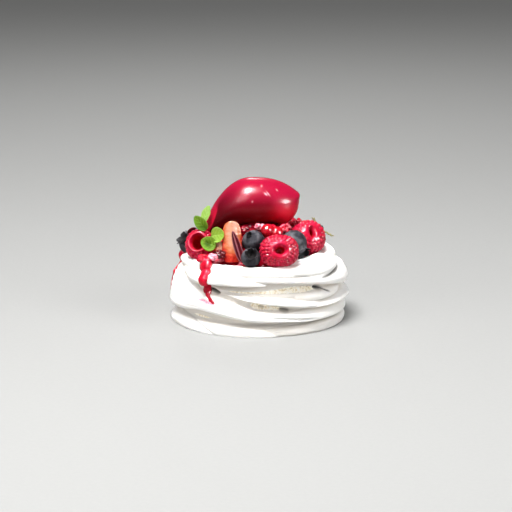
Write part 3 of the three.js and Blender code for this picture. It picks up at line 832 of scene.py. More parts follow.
@dataclass
class MeringueNest:
    """A nest of meringue spun in overlapping ribbons, torn open in places along its folds.

    A ribbon's stations give an azimuth, its lower edge, crest and upper edge along the side, and
    how far it stands out. A groove's, a tear's and a stain's give an azimuth, the distance up the
    side, the half width, and the depth or strength; a groove has the strength of its painted shade
    before them. A pattern of drag lines has its turns round the nest, its lines in a millimetre and
    its share.
    """

    side: Stations = (
        (41.2, 0), (42.2, 0.8), (42.4, 3), (42, 8), (41.6, 14), (41.4, 20),
        (41.2, 25), (40.6, 29), (38.6, 31.8), (35, 33.2), (28, 33.6))
    rim_run: float = 44.0
    floor_height: float = 33.6
    sag: float = 0.3
    columns: int = 720
    base_rows: int = 3
    side_rows: int = 120
    floor_rows: int = 6
    foot_blend: float = 1.5
    lower_round: float = 0.5
    upper_round: float = 0.8
    soft_edge: float = 0.3
    pattern_shift: float = 17.0
    line_relief: float = 0.2
    line_patterns: Stations = ((1.8, 0.62, 1.5), (3.4, 1.5, 0.6))
    shaded_reliefs: tuple[float, float] = (0.3, 2.6)
    shaded_runs: tuple[float, float] = (30.0, 34.0)
    soaked_rim: float = 42.6

    ribbons = (
        ((-118, 31.5, 33, 35, 1), (-95, 31.2, 33.2, 37, 2.8), (-66, 31.4, 33.4, 37.4, 3.2),
         (-34, 31.6, 33.6, 37.6, 3.5), (-13, 31.2, 33.4, 37.6, 3.5), (16, 30.8, 33.2, 37.6, 3.6),
         (46, 29.4, 32.8, 38, 3.6), (60, 29.4, 33, 38, 3.8), (72, 29.9, 33.6, 38.2, 3.8),
         (82, 31.4, 35.6, 39.4, 3.2), (90, 34.6, 36.4, 38.4, 1)),
        ((80, 32, 34.5, 37, 1), (90, 32.2, 36.8, 41.4, 4.4), (104, 31.6, 36.4, 41, 4.6),
         (115, 30.8, 35.4, 39.8, 4.3), (150, 31.5, 34.8, 39, 3.6), (190, 31.6, 34.2, 38.4, 3.3),
         (230, 31.6, 34, 38, 3.2), (252, 31.6, 33.6, 37.6, 2.6), (266, 32.4, 33.6, 36, 0.8)),
        ((-72, 29.8, 30.6, 31.4, 1), (-62, 28.3, 30, 31.8, 3), (-50, 26, 28.8, 32.2, 4.2),
         (-38, 26.5, 28.8, 32, 4.4), (-23, 26.9, 28.8, 31.8, 4.2), (-9, 27, 28.4, 31, 3.6),
         (5, 27.2, 27.7, 28.4, 1.6)),
        ((-22, 29.6, 30, 30.6, 1), (4, 28.7, 29.9, 31.2, 3), (29, 27.6, 29, 30.2, 3.8),
         (46, 25.4, 28, 30, 4.2), (63, 23.2, 26.6, 31, 4.8), (90, 19.8, 24.9, 32.4, 5.4),
         (125, 20.5, 25, 31, 5), (170, 23, 27, 32, 4.4), (210, 25.5, 29, 33, 3.8),
         (240, 27.5, 30.4, 33, 2.4), (262, 30, 31, 32, 0.8)),
        ((-24, 21.8, 22.2, 22.6, 0.6), (-6, 19, 20.6, 21.8, 2.6), (14, 17, 18.8, 20.4, 3.6),
         (29, 15.2, 17.2, 19, 4), (51, 13.7, 15.2, 16.6, 4.2), (75, 13, 15.4, 17.6, 5),
         (90, 12.7, 15.7, 18.2, 5.7), (120, 12.8, 16.5, 20, 5), (160, 13.5, 18, 22, 4.6),
         (200, 14.5, 19.5, 24, 4.4), (235, 17, 21, 25, 3.4), (258, 20, 22, 24, 1.2)),
        ((-110, 8.2, 12.8, 25, 4.9), (-90, 8.5, 13, 30, 5.3), (-66, 10, 13.5, 28.8, 5.2),
         (-55, 11.3, 14.2, 27, 5), (-44, 12.3, 15, 22.5, 4.6), (-29, 11.3, 14, 20.6, 4.2),
         (-13, 9.5, 12, 16.8, 4), (0, 8.6, 10.8, 14.4, 3.8), (20, 8.2, 10, 13.6, 3.6),
         (37, 7, 9.6, 13.4, 3.5), (60, 6.7, 9.2, 13, 3.6), (90, 6, 8.7, 12.4, 3.6),
         (125, 5.5, 8.5, 12, 3.8), (180, 6, 9.5, 14, 4.2), (215, 7, 11, 16, 4.5),
         (250, 8.2, 12.8, 25, 4.9)),
        ((-125, 1, 2.5, 5, 1.5), (-100, 0.2, 2.4, 6, 3.6), (-84, 0.2, 2.4, 6.4, 4),
         (-71, 0.3, 2.8, 7.8, 3.4), (-54, 0.3, 2.4, 7.2, 3.2), (-39, 0.3, 2.4, 7, 3.2),
         (-13, 0.3, 2.2, 6.6, 2.9), (2, 0.3, 1.8, 5.2, 2.5), (16, 0.2, 0.8, 1.5, 1)),
        ((-8, 3.2, 3.8, 4.4, 0.4), (8, 1.2, 3, 5, 1), (16, 0.4, 2.8, 5.4, 1.3),
         (37, 0.2, 2.8, 5.9, 1.6), (56, 0.2, 2.9, 6.5, 2), (90, 0.1, 3.4, 5.8, 2.8),
         (135, 0.1, 3, 6, 3), (180, 0.1, 2.8, 5.6, 3), (220, 0.2, 2.8, 6, 3.4),
         (245, 0.2, 2.6, 6, 3.8), (262, 0.5, 2.4, 5, 1.5)),
        ((-62, 35.4, 37, 39, 0.5), (-44, 35.4, 37.6, 40.6, 1.2), (-20, 35.4, 37.8, 41, 1.4),
         (6, 35.4, 37.8, 41.4, 1.4), (24, 35.6, 38.4, 42.6, 2.2), (44, 35.8, 39, 43.6, 3.4),
         (62, 36, 39.4, 43.8, 3.6), (84, 36.8, 39.4, 43, 2.4), (104, 37.4, 39, 41, 0.6)),
        ((26, 18.6, 20, 22, 0.5), (38, 17.4, 19.8, 22.6, 1.8), (52, 16.8, 19.6, 22.8, 2.6),
         (68, 17.4, 19.4, 22.2, 2.4), (84, 18.2, 19.2, 20.4, 0.6)),
    )

    # Each groove cuts a fold and, by its first number, lays painted shade along it.
    grooves = (
        (0.1, ((-62, 28.6, 0.3, 0), (-60, 28.2, 0.35, 0.6), (-53, 27.2, 0.4, 0.9),
               (-45, 25.6, 0.4, 0.7), (-42, 25, 0.3, 0))),
        (0.1, ((-68, 31.6, 0.3, 0), (-66, 31, 0.4, 0.6), (-59, 28.6, 0.35, 0.5), (-57, 28, 0.3, 0))),
        (0.0, ((-34, 38.8, 0.35, 0), (-26, 36.9, 0.4, 0.5), (-20, 36.2, 0.4, 0.4), (-14, 36, 0.3, 0))),
        (0.0, ((-34, 34.1, 0.3, 0), (-21, 34.5, 0.35, 0.5), (-8, 35.6, 0.35, 0.4), (0, 35.8, 0.3, 0))),
        (0.5, ((24, 31.3, 0.25, 0), (28, 31, 0.3, 0.9), (34, 30.6, 0.3, 0.9), (39, 30.2, 0.25, 0))),
        (0.85, ((44, 28.9, 0.3, 0), (52, 28.9, 0.4, 1.2), (60, 29.1, 0.5, 2.4), (68, 29.5, 0.5, 3),
                (76, 30.3, 0.45, 3), (82, 31.6, 0.4, 2.4), (88, 34, 0.3, 0))),
        (1.0, ((-39, 24.4, 0.4, 0), (-35, 23.4, 0.9, 2.8), (-32, 22.8, 0.9, 2.4), (-28, 22.2, 0.4, 0))),
        (0.12, ((-36, 25.2, 0.6, 0), (-31, 25.6, 1, 1.4), (-20, 25.9, 1, 1.2), (-6, 26, 0.7, 0.7),
                (6, 26, 0.4, 0))),
        (1.0, ((41, 24.2, 0.3, 0), (44, 23.8, 0.9, 3), (47, 23.3, 0.9, 3.2), (50, 22.7, 0.45, 1.8),
               (54, 21.5, 0.4, 1.3), (58, 20.4, 0.3, 0))),
        (0.4, ((-1.5, 16.4, 0.3, 0), (0, 16.6, 0.7, 1.2), (2.5, 16.4, 0.6, 1.2), (4, 16.2, 0.3, 0))),
        (0.7, ((13.5, 14.9, 0.4, 0), (16, 14.7, 0.9, 1.6), (19, 14.3, 0.9, 1.4), (22, 14, 0.4, 0.4),
               (28, 14, 0.3, 0))),
        (0.1, ((28, 14.4, 0.3, 0), (35, 15.2, 0.35, 0.6), (53, 16.9, 0.35, 0.7), (76, 15.8, 0.3, 0.4),
               (84, 15.6, 0.3, 0))),
        (0.2, ((0, 12.2, 0.3, 0), (4, 11.9, 0.35, 0.8), (16, 11, 0.45, 1.1), (30, 9.6, 0.6, 1.2),
               (44, 9, 0.5, 0))),
        (0.2, ((-74, 8.2, 0.3, 0), (-69, 7.7, 0.4, 0.8), (-54, 6.8, 0.4, 1), (-42, 4.9, 0.4, 0.9),
               (-31, 2.2, 0.35, 0.5), (-27, 1.2, 0.3, 0))),
        (0.0, ((-74, 14.2, 0.3, 0), (-64, 14.6, 0.35, 0.3), (-44, 15.2, 0.35, 0.35), (-20, 14, 0.35, 0.3),
               (-8, 13, 0.3, 0))),
        (0.5, ((105, 21.4, 0.4, 0), (118, 20.6, 0.6, 1.4), (132, 20.9, 0.5, 1.2), (142, 21.4, 0.3, 0))),
        (0.5, ((150, 13.2, 0.3, 0), (165, 13.6, 0.5, 1.4), (182, 14, 0.5, 1.2), (196, 14.4, 0.3, 0))),
        (0.5, ((200, 25, 0.3, 0), (215, 25.8, 0.5, 1.2), (232, 26.8, 0.5, 1.4), (246, 27.8, 0.3, 0))),
        (0.3, ((210, 6.6, 0.3, 0), (225, 6.8, 0.4, 1), (244, 7.2, 0.4, 0.8), (252, 7.4, 0.3, 0))),
        (0.1, ((120, 33.8, 0.3, 0), (140, 33.4, 0.4, 0.7), (165, 33, 0.4, 0.6), (180, 32.8, 0.3, 0))),
        (0.2, ((98, 9, 0.3, 0), (112, 8.6, 0.4, 0.9), (128, 8.4, 0.4, 0.8), (140, 8.4, 0.3, 0))),
        (0.4, ((-24, 6.9, 0.4, 0), (-8, 7, 0.8, 0.7), (12, 6.6, 1, 0.8), (36, 6.2, 0.9, 0.8),
               (60, 6.2, 0.8, 0.8), (100, 5.8, 0.7, 0.6), (130, 5.6, 0.4, 0))),
    )

    tears = (
        ((-27, 23.9, 0.4, 0), (-20, 23.7, 0.5, 0.8), (-8, 23.5, 0.6, 0.9), (4, 23.7, 0.8, 1),
         (14, 24, 1.4, 1), (24, 24.2, 1.9, 1), (36, 23.9, 1.7, 1), (44, 23.6, 0.9, 0.6), (47, 23.4, 0.5, 0)),
        ((-8, 17.6, 0.6, 0), (-4, 16.9, 1.7, 1), (3, 16.6, 2.1, 1), (9, 15.8, 1.7, 1), (15, 15, 1, 0.8),
         (20, 14.4, 0.5, 0)),
        ((-48, 19.8, 0.3, 0), (-44, 19.7, 0.5, 0.58), (-40, 19.6, 0.5, 0.58), (-37, 19.5, 0.3, 0)),
        ((-56, 8.8, 0.4, 0), (-50, 8.6, 0.7, 0.7), (-42, 8.5, 0.8, 0.8), (-33, 8.3, 0.5, 0.3),
         (-28, 8.3, 0.3, 0)),
        ((74, 19.6, 0.4, 0), (88, 19, 0.6, 0.6), (100, 19.2, 0.4, 0)),
        ((118, 20.4, 0.5, 0), (128, 20.3, 0.9, 0.9), (145, 21.2, 1, 1), (160, 22, 0.6, 0)),
        ((150, 12.8, 0.4, 0), (165, 13.4, 0.8, 0.9), (180, 13.8, 0.8, 0.9), (192, 14, 0.4, 0)),
        ((200, 24.8, 0.5, 0), (215, 25.2, 0.9, 1), (235, 26, 0.9, 0.9), (250, 27, 0.4, 0)),
        ((205, 6.6, 0.4, 0), (220, 6.6, 0.7, 0.8), (238, 7, 0.7, 0.8), (250, 7.2, 0.4, 0)),
    )

    stains = (
        ((-46, 19.2, 0.5, 0), (-42, 18.8, 0.9, 0.5), (-36, 18.2, 1.1, 0.6), (-31, 17.6, 0.9, 0.5),
         (-28, 17.2, 0.4, 0)),
        ((-64, 37.6, 1.4, 0.1), (-50, 36.8, 3, 0.6), (-42, 36.8, 3, 0.6), (-28, 38, 1.4, 0.1)),
        ((-100, 37, 1.4, 0.1), (-90, 36, 2.6, 0.6), (-80, 37, 1.4, 0.1)),
    )

    def __post_init__(self) -> None:
        """Measures the side's curve once."""
        self.curve = SmoothCurve(self.side)

    @staticmethod
    def around(tables: Sequence[Stations], azimuth: float) -> list[tuple[int, list[float]]]:
        """Finds the ribbons, grooves, tears or stains at an azimuth.

        Args:
            tables: the stations of each of them.
            azimuth: degrees from the front.

        Returns:
            The number of each one there, and its values.
        """
        found = []
        for n, stations in enumerate(tables):
            for turn in (-360, 0, 360):
                values = station_values(stations, azimuth + turn)
                if values:
                    found.append((n, values))
        return found

    def relief(self, ribbons: list[tuple[int, list[float]]], run: float) -> tuple[float, float]:
        """Measures the ribbons at a place on the side.

        Args:
            ribbons: the ribbons at its azimuth.
            run: its distance up the side.

        Returns:
            How far the outermost ribbon stands out, and the place across that ribbon.
        """
        best, across = 0.0, run
        for n, (low, crest, high, out) in ribbons:
            share = (crest - run) / (crest - low) if run < crest else (run - crest) / (high - crest)
            if share >= 1:
                continue
            bulge = out * (1 - share * share) ** (self.lower_round if run < crest else self.upper_round)
            if bulge > best:
                best, across = bulge, run - crest + self.pattern_shift * (n + 1)
        return best, across

    def surface(
        self, azimuth: float, ribbons: list, grooves: list, run: float, lift: float = 0.0,
    ) -> tuple[Vector, float, float, float]:
        """Finds a point of the nest.

        Args:
            azimuth: degrees from the front.
            ribbons: the ribbons at that azimuth.
            grooves: the grooves at that azimuth, each with the strength of its painted shade.
            run: the distance up the side.
            lift: an extra distance out.

        Returns:
            The point, the ribbons' relief, the place across the ribbon, and the painted shade there.
        """
        foot, along = self.curve.at(self.curve.length * min(max(run / self.rim_run, 0), 1))
        relief, across = self.relief(ribbons, run)
        nearby = [self.relief(ribbons, run + self.soft_edge * n)[0] for n in (-1, -0.5, 0.5, 1)]
        relief = (relief + sum(nearby)) / (1 + len(nearby))
        turn = math.radians(azimuth)
        lines = self.line_relief * sum(
            share * noise.noise(Vector((turns * math.sin(turn), turns * math.cos(turn), pitch * across)))
            for turns, pitch, share in self.line_patterns)
        cut, dark = 0.0, 0.0
        # Painted shade: each groove darkens the colour along it, the more the deeper it cuts.
        for shade_strength, (centre, half, depth) in grooves:
            share = bell(run - centre, max(half, 0.15))
            cut = max(cut, depth * share)
            dark = max(dark, shade_strength * share * min(depth / 0.8, 1.0))
        edge = eased(run, 0.0, self.foot_blend)
        out = relief + edge * (lines - cut) + lift
        radius = foot.x + along.y * out
        height = max(foot.y - along.x * out - self.sag * relief * along.y * edge, 0.0)
        return from_front(radius, turn, height), relief, across, dark

    def point(self, azimuth: float, run: float, lift: float = 0.0) -> Vector:
        """Returns a point of the nest at an azimuth and a distance up its side, lifted off it."""
        return self.surface(azimuth, self.around(self.ribbons, azimuth), [], run, lift)[0]

    def build(self, material: Material) -> None:
        """Makes the nest.

        Args:
            material: the meringue.
        """
        rows = self.base_rows + self.side_rows + self.floor_rows
        places: dict[tuple[int, int], Vector] = {}
        marks: dict[tuple[int, int], tuple] = {}
        for column in range(self.columns):
            azimuth = 360.0 * column / self.columns - 180.0
            turn = math.radians(azimuth)
            ribbons = self.around(self.ribbons, azimuth)
            grooves = [(self.grooves[n][0], values)
                       for n, values in self.around([g[1] for g in self.grooves], azimuth)]
            tears = self.around(self.tears, azimuth)
            stains = self.around(self.stains, azimuth)
            for row in range(rows + 1):
                run = self.rim_run * min(max(row - self.base_rows, 0), self.side_rows) / self.side_rows
                point, relief, across, dark = self.surface(azimuth, ribbons, grooves, run)
                if row < self.base_rows:
                    point = point * (row / self.base_rows)
                elif row > self.base_rows + self.side_rows:
                    share = (rows - row) / self.floor_rows
                    point = Vector((point.x * share, point.y * share, self.floor_height))
                torn, stain = [
                    max([strength * bell(run - middle, max(half, 0.2))
                         for _, (middle, half, strength) in found], default=0.0)
                    for found in (tears, stains)]
                stain = max(stain, 0.75 * eased(run, self.soaked_rim, self.rim_run))
                # Painted shade for the material: 1 in the recesses between the ribbons, less towards the rim.
                cavity = (1 - eased(relief, *self.shaded_reliefs)) * (1 - eased(run, *self.shaded_runs))
                places[column, row] = point
                flow = Vector((math.sin(turn), math.cos(turn), across))
                marks[column, row] = (cavity, torn, dark, stain, flow)
        bm = grid(self.columns, rows, lambda column, row: places[column % self.columns, row])
        column_mark, row_mark = bm.verts.layers.int["column"], bm.verts.layers.int["row"]
        layers = [bm.verts.layers.float.new(name) for name in ("cavity", "torn", "dark", "stain")]
        flow_layer = bm.verts.layers.float_vector.new("flow")
        for vert in bm.verts:
            *values, flow = marks[vert[column_mark] % self.columns, vert[row_mark]]
            for layer, value in zip(layers, values):
                vert[layer] = value
            vert[flow_layer] = flow
        piece("spun_meringue", closed(bm), material, ["meringue_nest"])


@dataclass
class CoulisRuns:
    """Coulis that has run over the rim and down the nest, in beads joined by thinner streams.

    Each station gives an azimuth, the distance up the side and the thickness. Between two beads a
    stream has the neck's share of that thickness, and a bead swells it again.
    """

    nest: MeringueNest
    runs = (
        ((-49, 39.5, 7.4), (-46.5, 35.8, 8.4), (-42.5, 33.2, 7.4), (-41, 31.4, 6), (-39.5, 29.4, 6),
         (-39, 27.4, 4.4), (-39.6, 24.6, 4.6), (-39.6, 22.6, 5.2), (-38, 21, 3), (-34.5, 19.4, 2.2),
         (-31, 18, 1.8)),
        ((-90, 39.5, 5), (-91, 36.5, 5.5), (-92, 33, 5.2), (-97, 28.5, 2.6), (-95, 24.5, 3.2),
         (-98, 18, 2.2), (-99, 12, 2.4), (-96, 8, 3), (-95, 6, 4.8)),
    )
    sides: int = 20
    steps: int = 110
    flatness: float = 0.62
    lift: float = 0.25
    neck: float = 0.74
    swell: float = 0.3
    bead_reach: float = 0.42
    lumpiness: float = 0.16

    def stream(self, stations: Stations) -> Mesh:
        """Sweeps one run of coulis down the nest.

        Args:
            stations: the run's beads, from the top down.

        Returns:
            A closed tube whose thickness swells at each bead.
        """
        way = [self.nest.point(azimuth, run, self.lift) for azimuth, run, _ in self.dense(stations)]
        path = SmoothCurve(way, steps=6)
        widths = []
        for azimuth, run, thickness in stations:
            knot = self.nest.point(azimuth, run, self.lift)
            nearest = min(range(len(path.places)), key=lambda i: (path.places[i] - knot).length)
            widths.append((path.runs[nearest], thickness))
        widths = [(widths[0][0] - 1e-6, widths[0][1])] + widths[1:]
        total = path.length

        def place(column: int, row: int) -> Vector:
            """Returns a point of the run's skin."""
            distance = total * row / self.steps
            centre, along = path.at(distance)
            thickness = station_values(widths, min(max(distance, widths[0][0]), widths[-1][0]))[0]
            bead = max(bell(distance - s, self.bead_reach * w) for s, w in widths)
            tip = round_tip(min(distance, total - distance) / (0.5 * thickness))
            lump = 1 + self.lumpiness * noise.noise(centre * 0.42)
            radius = 0.5 * thickness * (self.neck + self.swell * bead) * lump * tip
            outward = Vector((centre.x, centre.y, 0)).normalized()
            outward = (outward + Vector((0, 0, 0.35 * eased(centre.z, 30, 36)))).normalized()
            side = along.cross(outward).normalized()
            outward = side.cross(along).normalized()
            angle = ring_turn(column, self.sides)
            flat = radius * self.flatness
            return centre + side * radius * math.cos(angle) + outward * flat * math.sin(angle)

        return closed(grid(self.sides, self.steps, place))

    @staticmethod
    def dense(stations: Stations) -> list[tuple[float, float, float]]:
        """Puts two more stations between each pair, so that the run hugs the folds.

        Args:
            stations: the run's beads.

        Returns:
            All the stations.
        """
        found = []
        for a, b in zip(stations, stations[1:]):
            found += [tuple(x + (y - x) * n / 3 for x, y in zip(a, b)) for n in range(3)]
        return found + [tuple(stations[-1])]

    def build(self, material: Material) -> None:
        """Makes each run as a piece of its own.

        Args:
            material: the coulis.
        """
        for name, stations in zip(("coulis_run_front", "coulis_run_left"), self.runs):
            bm = self.stream(stations)
            marked(bm, "tint", lambda vert: 0.42 + 0.2 * noise.noise(vert.co * 300))
            piece(name, bm, material, ["meringue_nest"])


@dataclass
class BerryCompote:
    """A heap of crushed berries in their sauce on the nest's floor, which spreads towards the rim.

    A tongue gives an azimuth, its half width in degrees and how far the sauce reaches beyond or
    short of the heap's edge there. A bit gives a place, a half width and how pale it is; some bits
    are set darker as painted shade, and one paler as a painted highlight.
    """

    nest: MeringueNest
    foot: float = 33.95
    radius: float = 28.0
    height: float = 17.5
    reach: float = 29.6
    columns: int = 220
    rows: int = 90
    under_rows: int = 8
    lip: float = 1.2
    lump_gap: float = 3.1
    lump_radius: float = 2.3
    lump_relief: float = 1.5
    lump_tries: int = 2600
    drupelet_gap: float = 2.2
    drupelet_radius: float = 1.7
    drupelet_relief: float = 1.3
    drupelet_tries: int = 200
    seed: int = 11
    tongues = ((-50, 11, 5.5), (-90, 8, 6.5), (50, 26, -6.0), (150, 14, 3.0))

    # Painted shade and highlight: the second, third and eighth bits are darkened for the shade under the
    # quenelle's edge, and the last, pale one is a painted highlight on the sauce.
    bits = (
        ((13.5, -14.0, 50.6), 3.2, 0.52), ((20.6, -3.6, 52.2), 1.7, 0.3), ((-7.6, -14.6, 49.4), 3.2, 0.12),
        ((-9.2, -19.4, 44.4), 3.2, 0.55), ((-20.4, -27.4, 40.0), 2.8, 0.0),
        ((-23.5, -29.6, 39.2), 2.6, 0.68), ((5.6, -13.2, 49.8), 3.4, 0.45),
        ((18.6, 13.6, 46.0), 3.2, 0.32), ((-15.0, 13.4, 49.4), 3.2, 0.4),
        ((6.0, 15.6, 49.8), 3.2, 0.5), ((-25.6, 3.0, 46.4), 3.4, 0.4), ((25.0, 3.6, 46.2), 3.0, 0.45),
        ((-29.2, -27.0, 37.6), 2.6, 0.5), ((0.4, -14.4, 51.6), 2.1, 0.66),
    )

    def height_at(self, share: float) -> float:
        """Returns the heap's height above its foot at a share of its radius."""
        if share >= 1:
            return 0.0
        return self.lip * eased(1 - share, 0, 0.06) + (self.height - self.lip) * (1 - share ** 2.6) ** 0.9

    def place(self, column: int, row: int) -> Vector:
        """Finds a point of the heap: of its top, the sauce round it, or the underside.

        Args:
            column: the point's column, counted round the heap.
            row: its row, from the middle of the top to the middle of the underside.

        Returns:
            The point.
        """
        azimuth = 360.0 * (column % self.columns) / self.columns
        turn = math.radians(azimuth)
        top_rows = self.rows - self.under_rows
        wave = noise.noise(Vector((2.2 * math.sin(turn), 2.2 * math.cos(turn), 3.0)))
        edge = self.reach + 1.2 * wave
        for middle, half, extra in self.tongues:
            edge += extra * bell((azimuth - middle + 180) % 360 - 180, half)
        if row <= top_rows:
            radius = edge * row / top_rows
            thin = 0.9 * math.sqrt(max(1 - row / top_rows, 0))
            rise = self.height_at(radius / (self.radius * (1 + 0.05 * wave))) + thin
        else:
            radius = edge * (self.rows - row) / self.under_rows
            rise = -0.3 * eased(self.rows - row, 0, self.under_rows)
        ground = max(self.foot, self.ground_at(azimuth, radius)) if radius > 30 else self.foot
        return from_front(radius, turn, ground + rise)

    def ground_at(self, azimuth: float, radius: float) -> float:
        """Returns the nest's height under a place near its rim."""
        run = 36.9 + (35.0 - radius) * 1.02
        return self.nest.point(azimuth if azimuth <= 180 else azimuth - 360, run).z

    def build(self, material: Material) -> None:
        """Makes the heap with its lumps, and the larger bits on it.

        Args:
            material: the sauce.
        """
        draw = random.Random(self.seed)
        centres: list[Vector] = []
        for _ in range(self.lump_tries):
            radius, turn = self.radius * 1.06 * math.sqrt(draw.random()), 2 * math.pi * draw.random()
            spot = from_front(radius, turn, self.foot + self.height_at(radius / self.radius))
            if all((spot - other).length > self.lump_gap for other in centres):
                centres.append(spot)
        bm = closed(grid(self.columns, self.rows, self.place))
        raise_domes(bm, centres, self.lump_radius, self.lump_relief)
        tree = search_tree([centre * MM for centre in centres])
        # Painted shade: the lumps high up under the quenelle are darker.
        shaded_tones = [draw.uniform(0.16, 0.62) * (1 - 0.7 * eased(spot.z, 43, 49)) for spot in centres]
        marked(bm, "tint", lambda vert: shaded_tones[tree.find(vert.co)[1]])
        piece("berry_heap", bm, material, ["berry_compote"])
        for n, (at, radius, tone) in enumerate(self.bits):
            self.bit(f"berry_bit_{n + 1}", Vector(at), radius, tone, material, draw)

    def bit(
        self, name: str, at: Vector, radius: float, tone: float, material: Material,
        draw: random.Random,
    ) -> None:
        """Makes one crushed bit of raspberry: a small clump of drupelets.

        Args:
            name: the piece's name.
            at: its middle.
            radius: its half width.
            tone: how pale it is, from 0 to 1.
            material: the sauce.
            draw: the random draws.
        """
        bm = bmesh.new()
        bmesh.ops.create_icosphere(bm, subdivisions=5, radius=radius * MM)
        centres = []
        for _ in range(self.drupelet_tries):
            spot = Vector([draw.gauss(0, 1) for _ in range(3)]).normalized() * radius
            if all((spot - other).length > self.drupelet_gap for other in centres):
                centres.append(spot)
        raise_domes(bm, centres, self.drupelet_radius, self.drupelet_relief)
        stretch = Matrix.Diagonal((draw.uniform(0.9, 1.3), draw.uniform(0.8, 1.1), draw.uniform(0.7, 0.9), 1))
        moved(bm, Matrix.Translation(at) @ Matrix.Rotation(draw.uniform(0, 3), 4, "Z") @ stretch)
        marked(bm, "tint", lambda vert: tone)
        piece(name, bm, material, ["berry_compote"])


@dataclass
class SorbetQuenelle:
    """An egg of red sorbet lying on the heap, its left end bent down over the fruit.

    It is a ball of radius 1, drawn out along its x, whose methods take a point of that ball. The
    part left of the droop's start bends down. A lobe at the left lies back behind a crease, and
    the right end has a small corner. A scuff is a low rough ridge that gives its x, z, slope, half
    width, half length and strength on the ball.
    """

    centre: Place = (-3.0, 1.0, 62.3)
    length: float = 49.0
    depth: float = 27.0
    thickness: float = 24.6
    droop: float = 0.024
    droop_start: float = -4.0
    fullness: float = 0.16
    crease_step: float = 1.1
    left_tuck: float = 3.4
    right_slope: float = 1.1
    corner: float = 1.1
    corner_height: float = 0.3
    corner_half: float = 0.18
    scuff_height: float = 0.2
    waviness: float = 0.18
    scuffs = (
        (0.265, 0.45, 0.49, 0.02, 0.045, 0.9), (0.315, 0.46, 0.42, 0.011, 0.07, 0.7),
        (0.175, 0.75, 0.0, 0.016, 0.035, 0.35), (0.5, 0.58, 0.4, 0.014, 0.035, 0.35),
        (-0.02, 0.16, 0.0, 0.015, 0.035, 0.3),
    )

    @staticmethod
    def left_lobe(point: Vector) -> float:
        """Returns 1 on the lobe left of the crease and 0 elsewhere, blended where the crease fades."""
        seam = point.x + 0.76 - 0.12 * min(point.z - 0.27, 0)
        soft = 0.12 * eased(point.z, 0.3, 0.8)
        return eased(-seam, -0.01 - soft, 0.03 + soft) * (1 - eased(point.z, 0.5, 0.95))

    def scuffed(self, point: Vector) -> float:
        """Finds how much the spoon and the ice have scratched the sorbet's front.

        Args:
            point: a point of the ball.

        Returns:
            The strength of the scuff there, from 0 to 1.
        """
        if point.y > 0:
            return 0.0
        found = 0.0
        for x, z, slope, thin, long, strength in self.scuffs:
            across = point.x - x + slope * (point.z - z)
            found = max(found, strength * bell(across, thin) * bell(point.z - z, long))
        return found

    def level(self, point: Vector) -> float:
        """Returns the painted light at a point of the ball, against painted shade: 0 at the foot, 1 on top.

        The left lobe and the right end get painted light further down.
        """
        return eased(point.z + 1.3 * self.left_lobe(point) + eased(point.x, 0.3, 0.8), -0.75, 0.8)

    def shade(self, point: Vector) -> float:
        """Returns how much painted shade a point gets: most beside the left lobe."""
        side = 0.8 * eased(-point.x, 0.1, 0.75) * (1 - self.left_lobe(point))
        return side * eased(-point.y, -0.2, 0.3) * (1 - eased(point.z - 0.5 * point.x, 0.78, 1.23))

    def painted_light_at(self, point: Vector) -> float:
        """Returns how much painted light a point gets: most low on the right end and on the lobe."""
        lobe = 0.4 * self.left_lobe(point) * eased(0.6 - point.z, 0, 0.5)
        return max(0.9 * eased(point.x, 0.15, 0.8) * eased(-point.z, -0.2, 0.4), lobe)

    def shaped(self, point: Vector) -> Vector:
        """Finds where a point of the ball goes on the quenelle.

        Args:
            point: a point of the ball.

        Returns:
            Its place, in millimetres.
        """
        x, y, z = point
        along = x * self.length / 2
        bend = self.droop * max(self.droop_start - (self.centre[0] + along), 0) ** 2
        full = 1 + self.fullness * abs(x) ** 3
        full += 0.5 * eased(x, 0.3, 1.0) * eased(-z, 0.0, 0.8)
        full += 0.3 * eased(-x, 0.55, 1.0) * eased(-z, -0.4, 0.6)
        along -= self.left_tuck * eased(-x, 0.5, 1.0) * eased(-z, -0.4, 0.7)
        wide = y * full * self.depth / 2 * (1 - 0.12 * z)
        high = z * full * self.thickness / 2
        high -= self.right_slope * eased(x, 0.4, 0.9) * eased(z, -0.3, 0.9)
        step = self.crease_step * self.left_lobe(point) * eased(-y, -0.3, 0.3) * (1 - x * x)
        ridge = self.scuff_height * self.scuffed(point)
        soft = self.waviness * noise.noise(Vector((2.1 * x, 1.6 * y, 1.6 * z + 4)))
        scale = 1 + (soft - step + ridge) / (self.thickness / 2)
        nib = eased(x, 0.8, 1.0) * bell(z - self.corner_height, self.corner_half)
        along += self.corner * nib - 0.5 * eased(x, 0.93, 1.0)
        return Vector((
            self.centre[0] + along, self.centre[1] + wide * scale,
            self.centre[2] + high * scale - bend - 0.3 * eased(x, 0.84, 1.0)))

    def build(self, material: Material) -> None:
        """Makes the quenelle.

        Args:
            material: the sorbet.
        """
        bm = bmesh.new()
        bmesh.ops.create_uvsphere(bm, u_segments=220, v_segments=260, radius=1.0)
        bmesh.ops.rotate(bm, verts=bm.verts, matrix=Matrix.Rotation(math.pi / 2, 3, "Y"))
        # Of these marks, all but the scuffs are painted light and shade.
        marks = {"level": self.level, "scuff": self.scuffed, "warm": self.painted_light_at, "shade": self.shade}
        for name, mark in marks.items():
            marked(bm, name, lambda v: mark(v.co))
        for vert in bm.verts:
            vert.co = self.shaped(vert.co) * MM
        bmesh.ops.recalc_face_normals(bm, faces=bm.faces)
        piece("sorbet_egg", bm, material, ["sorbet_quenelle"])


# The fruit


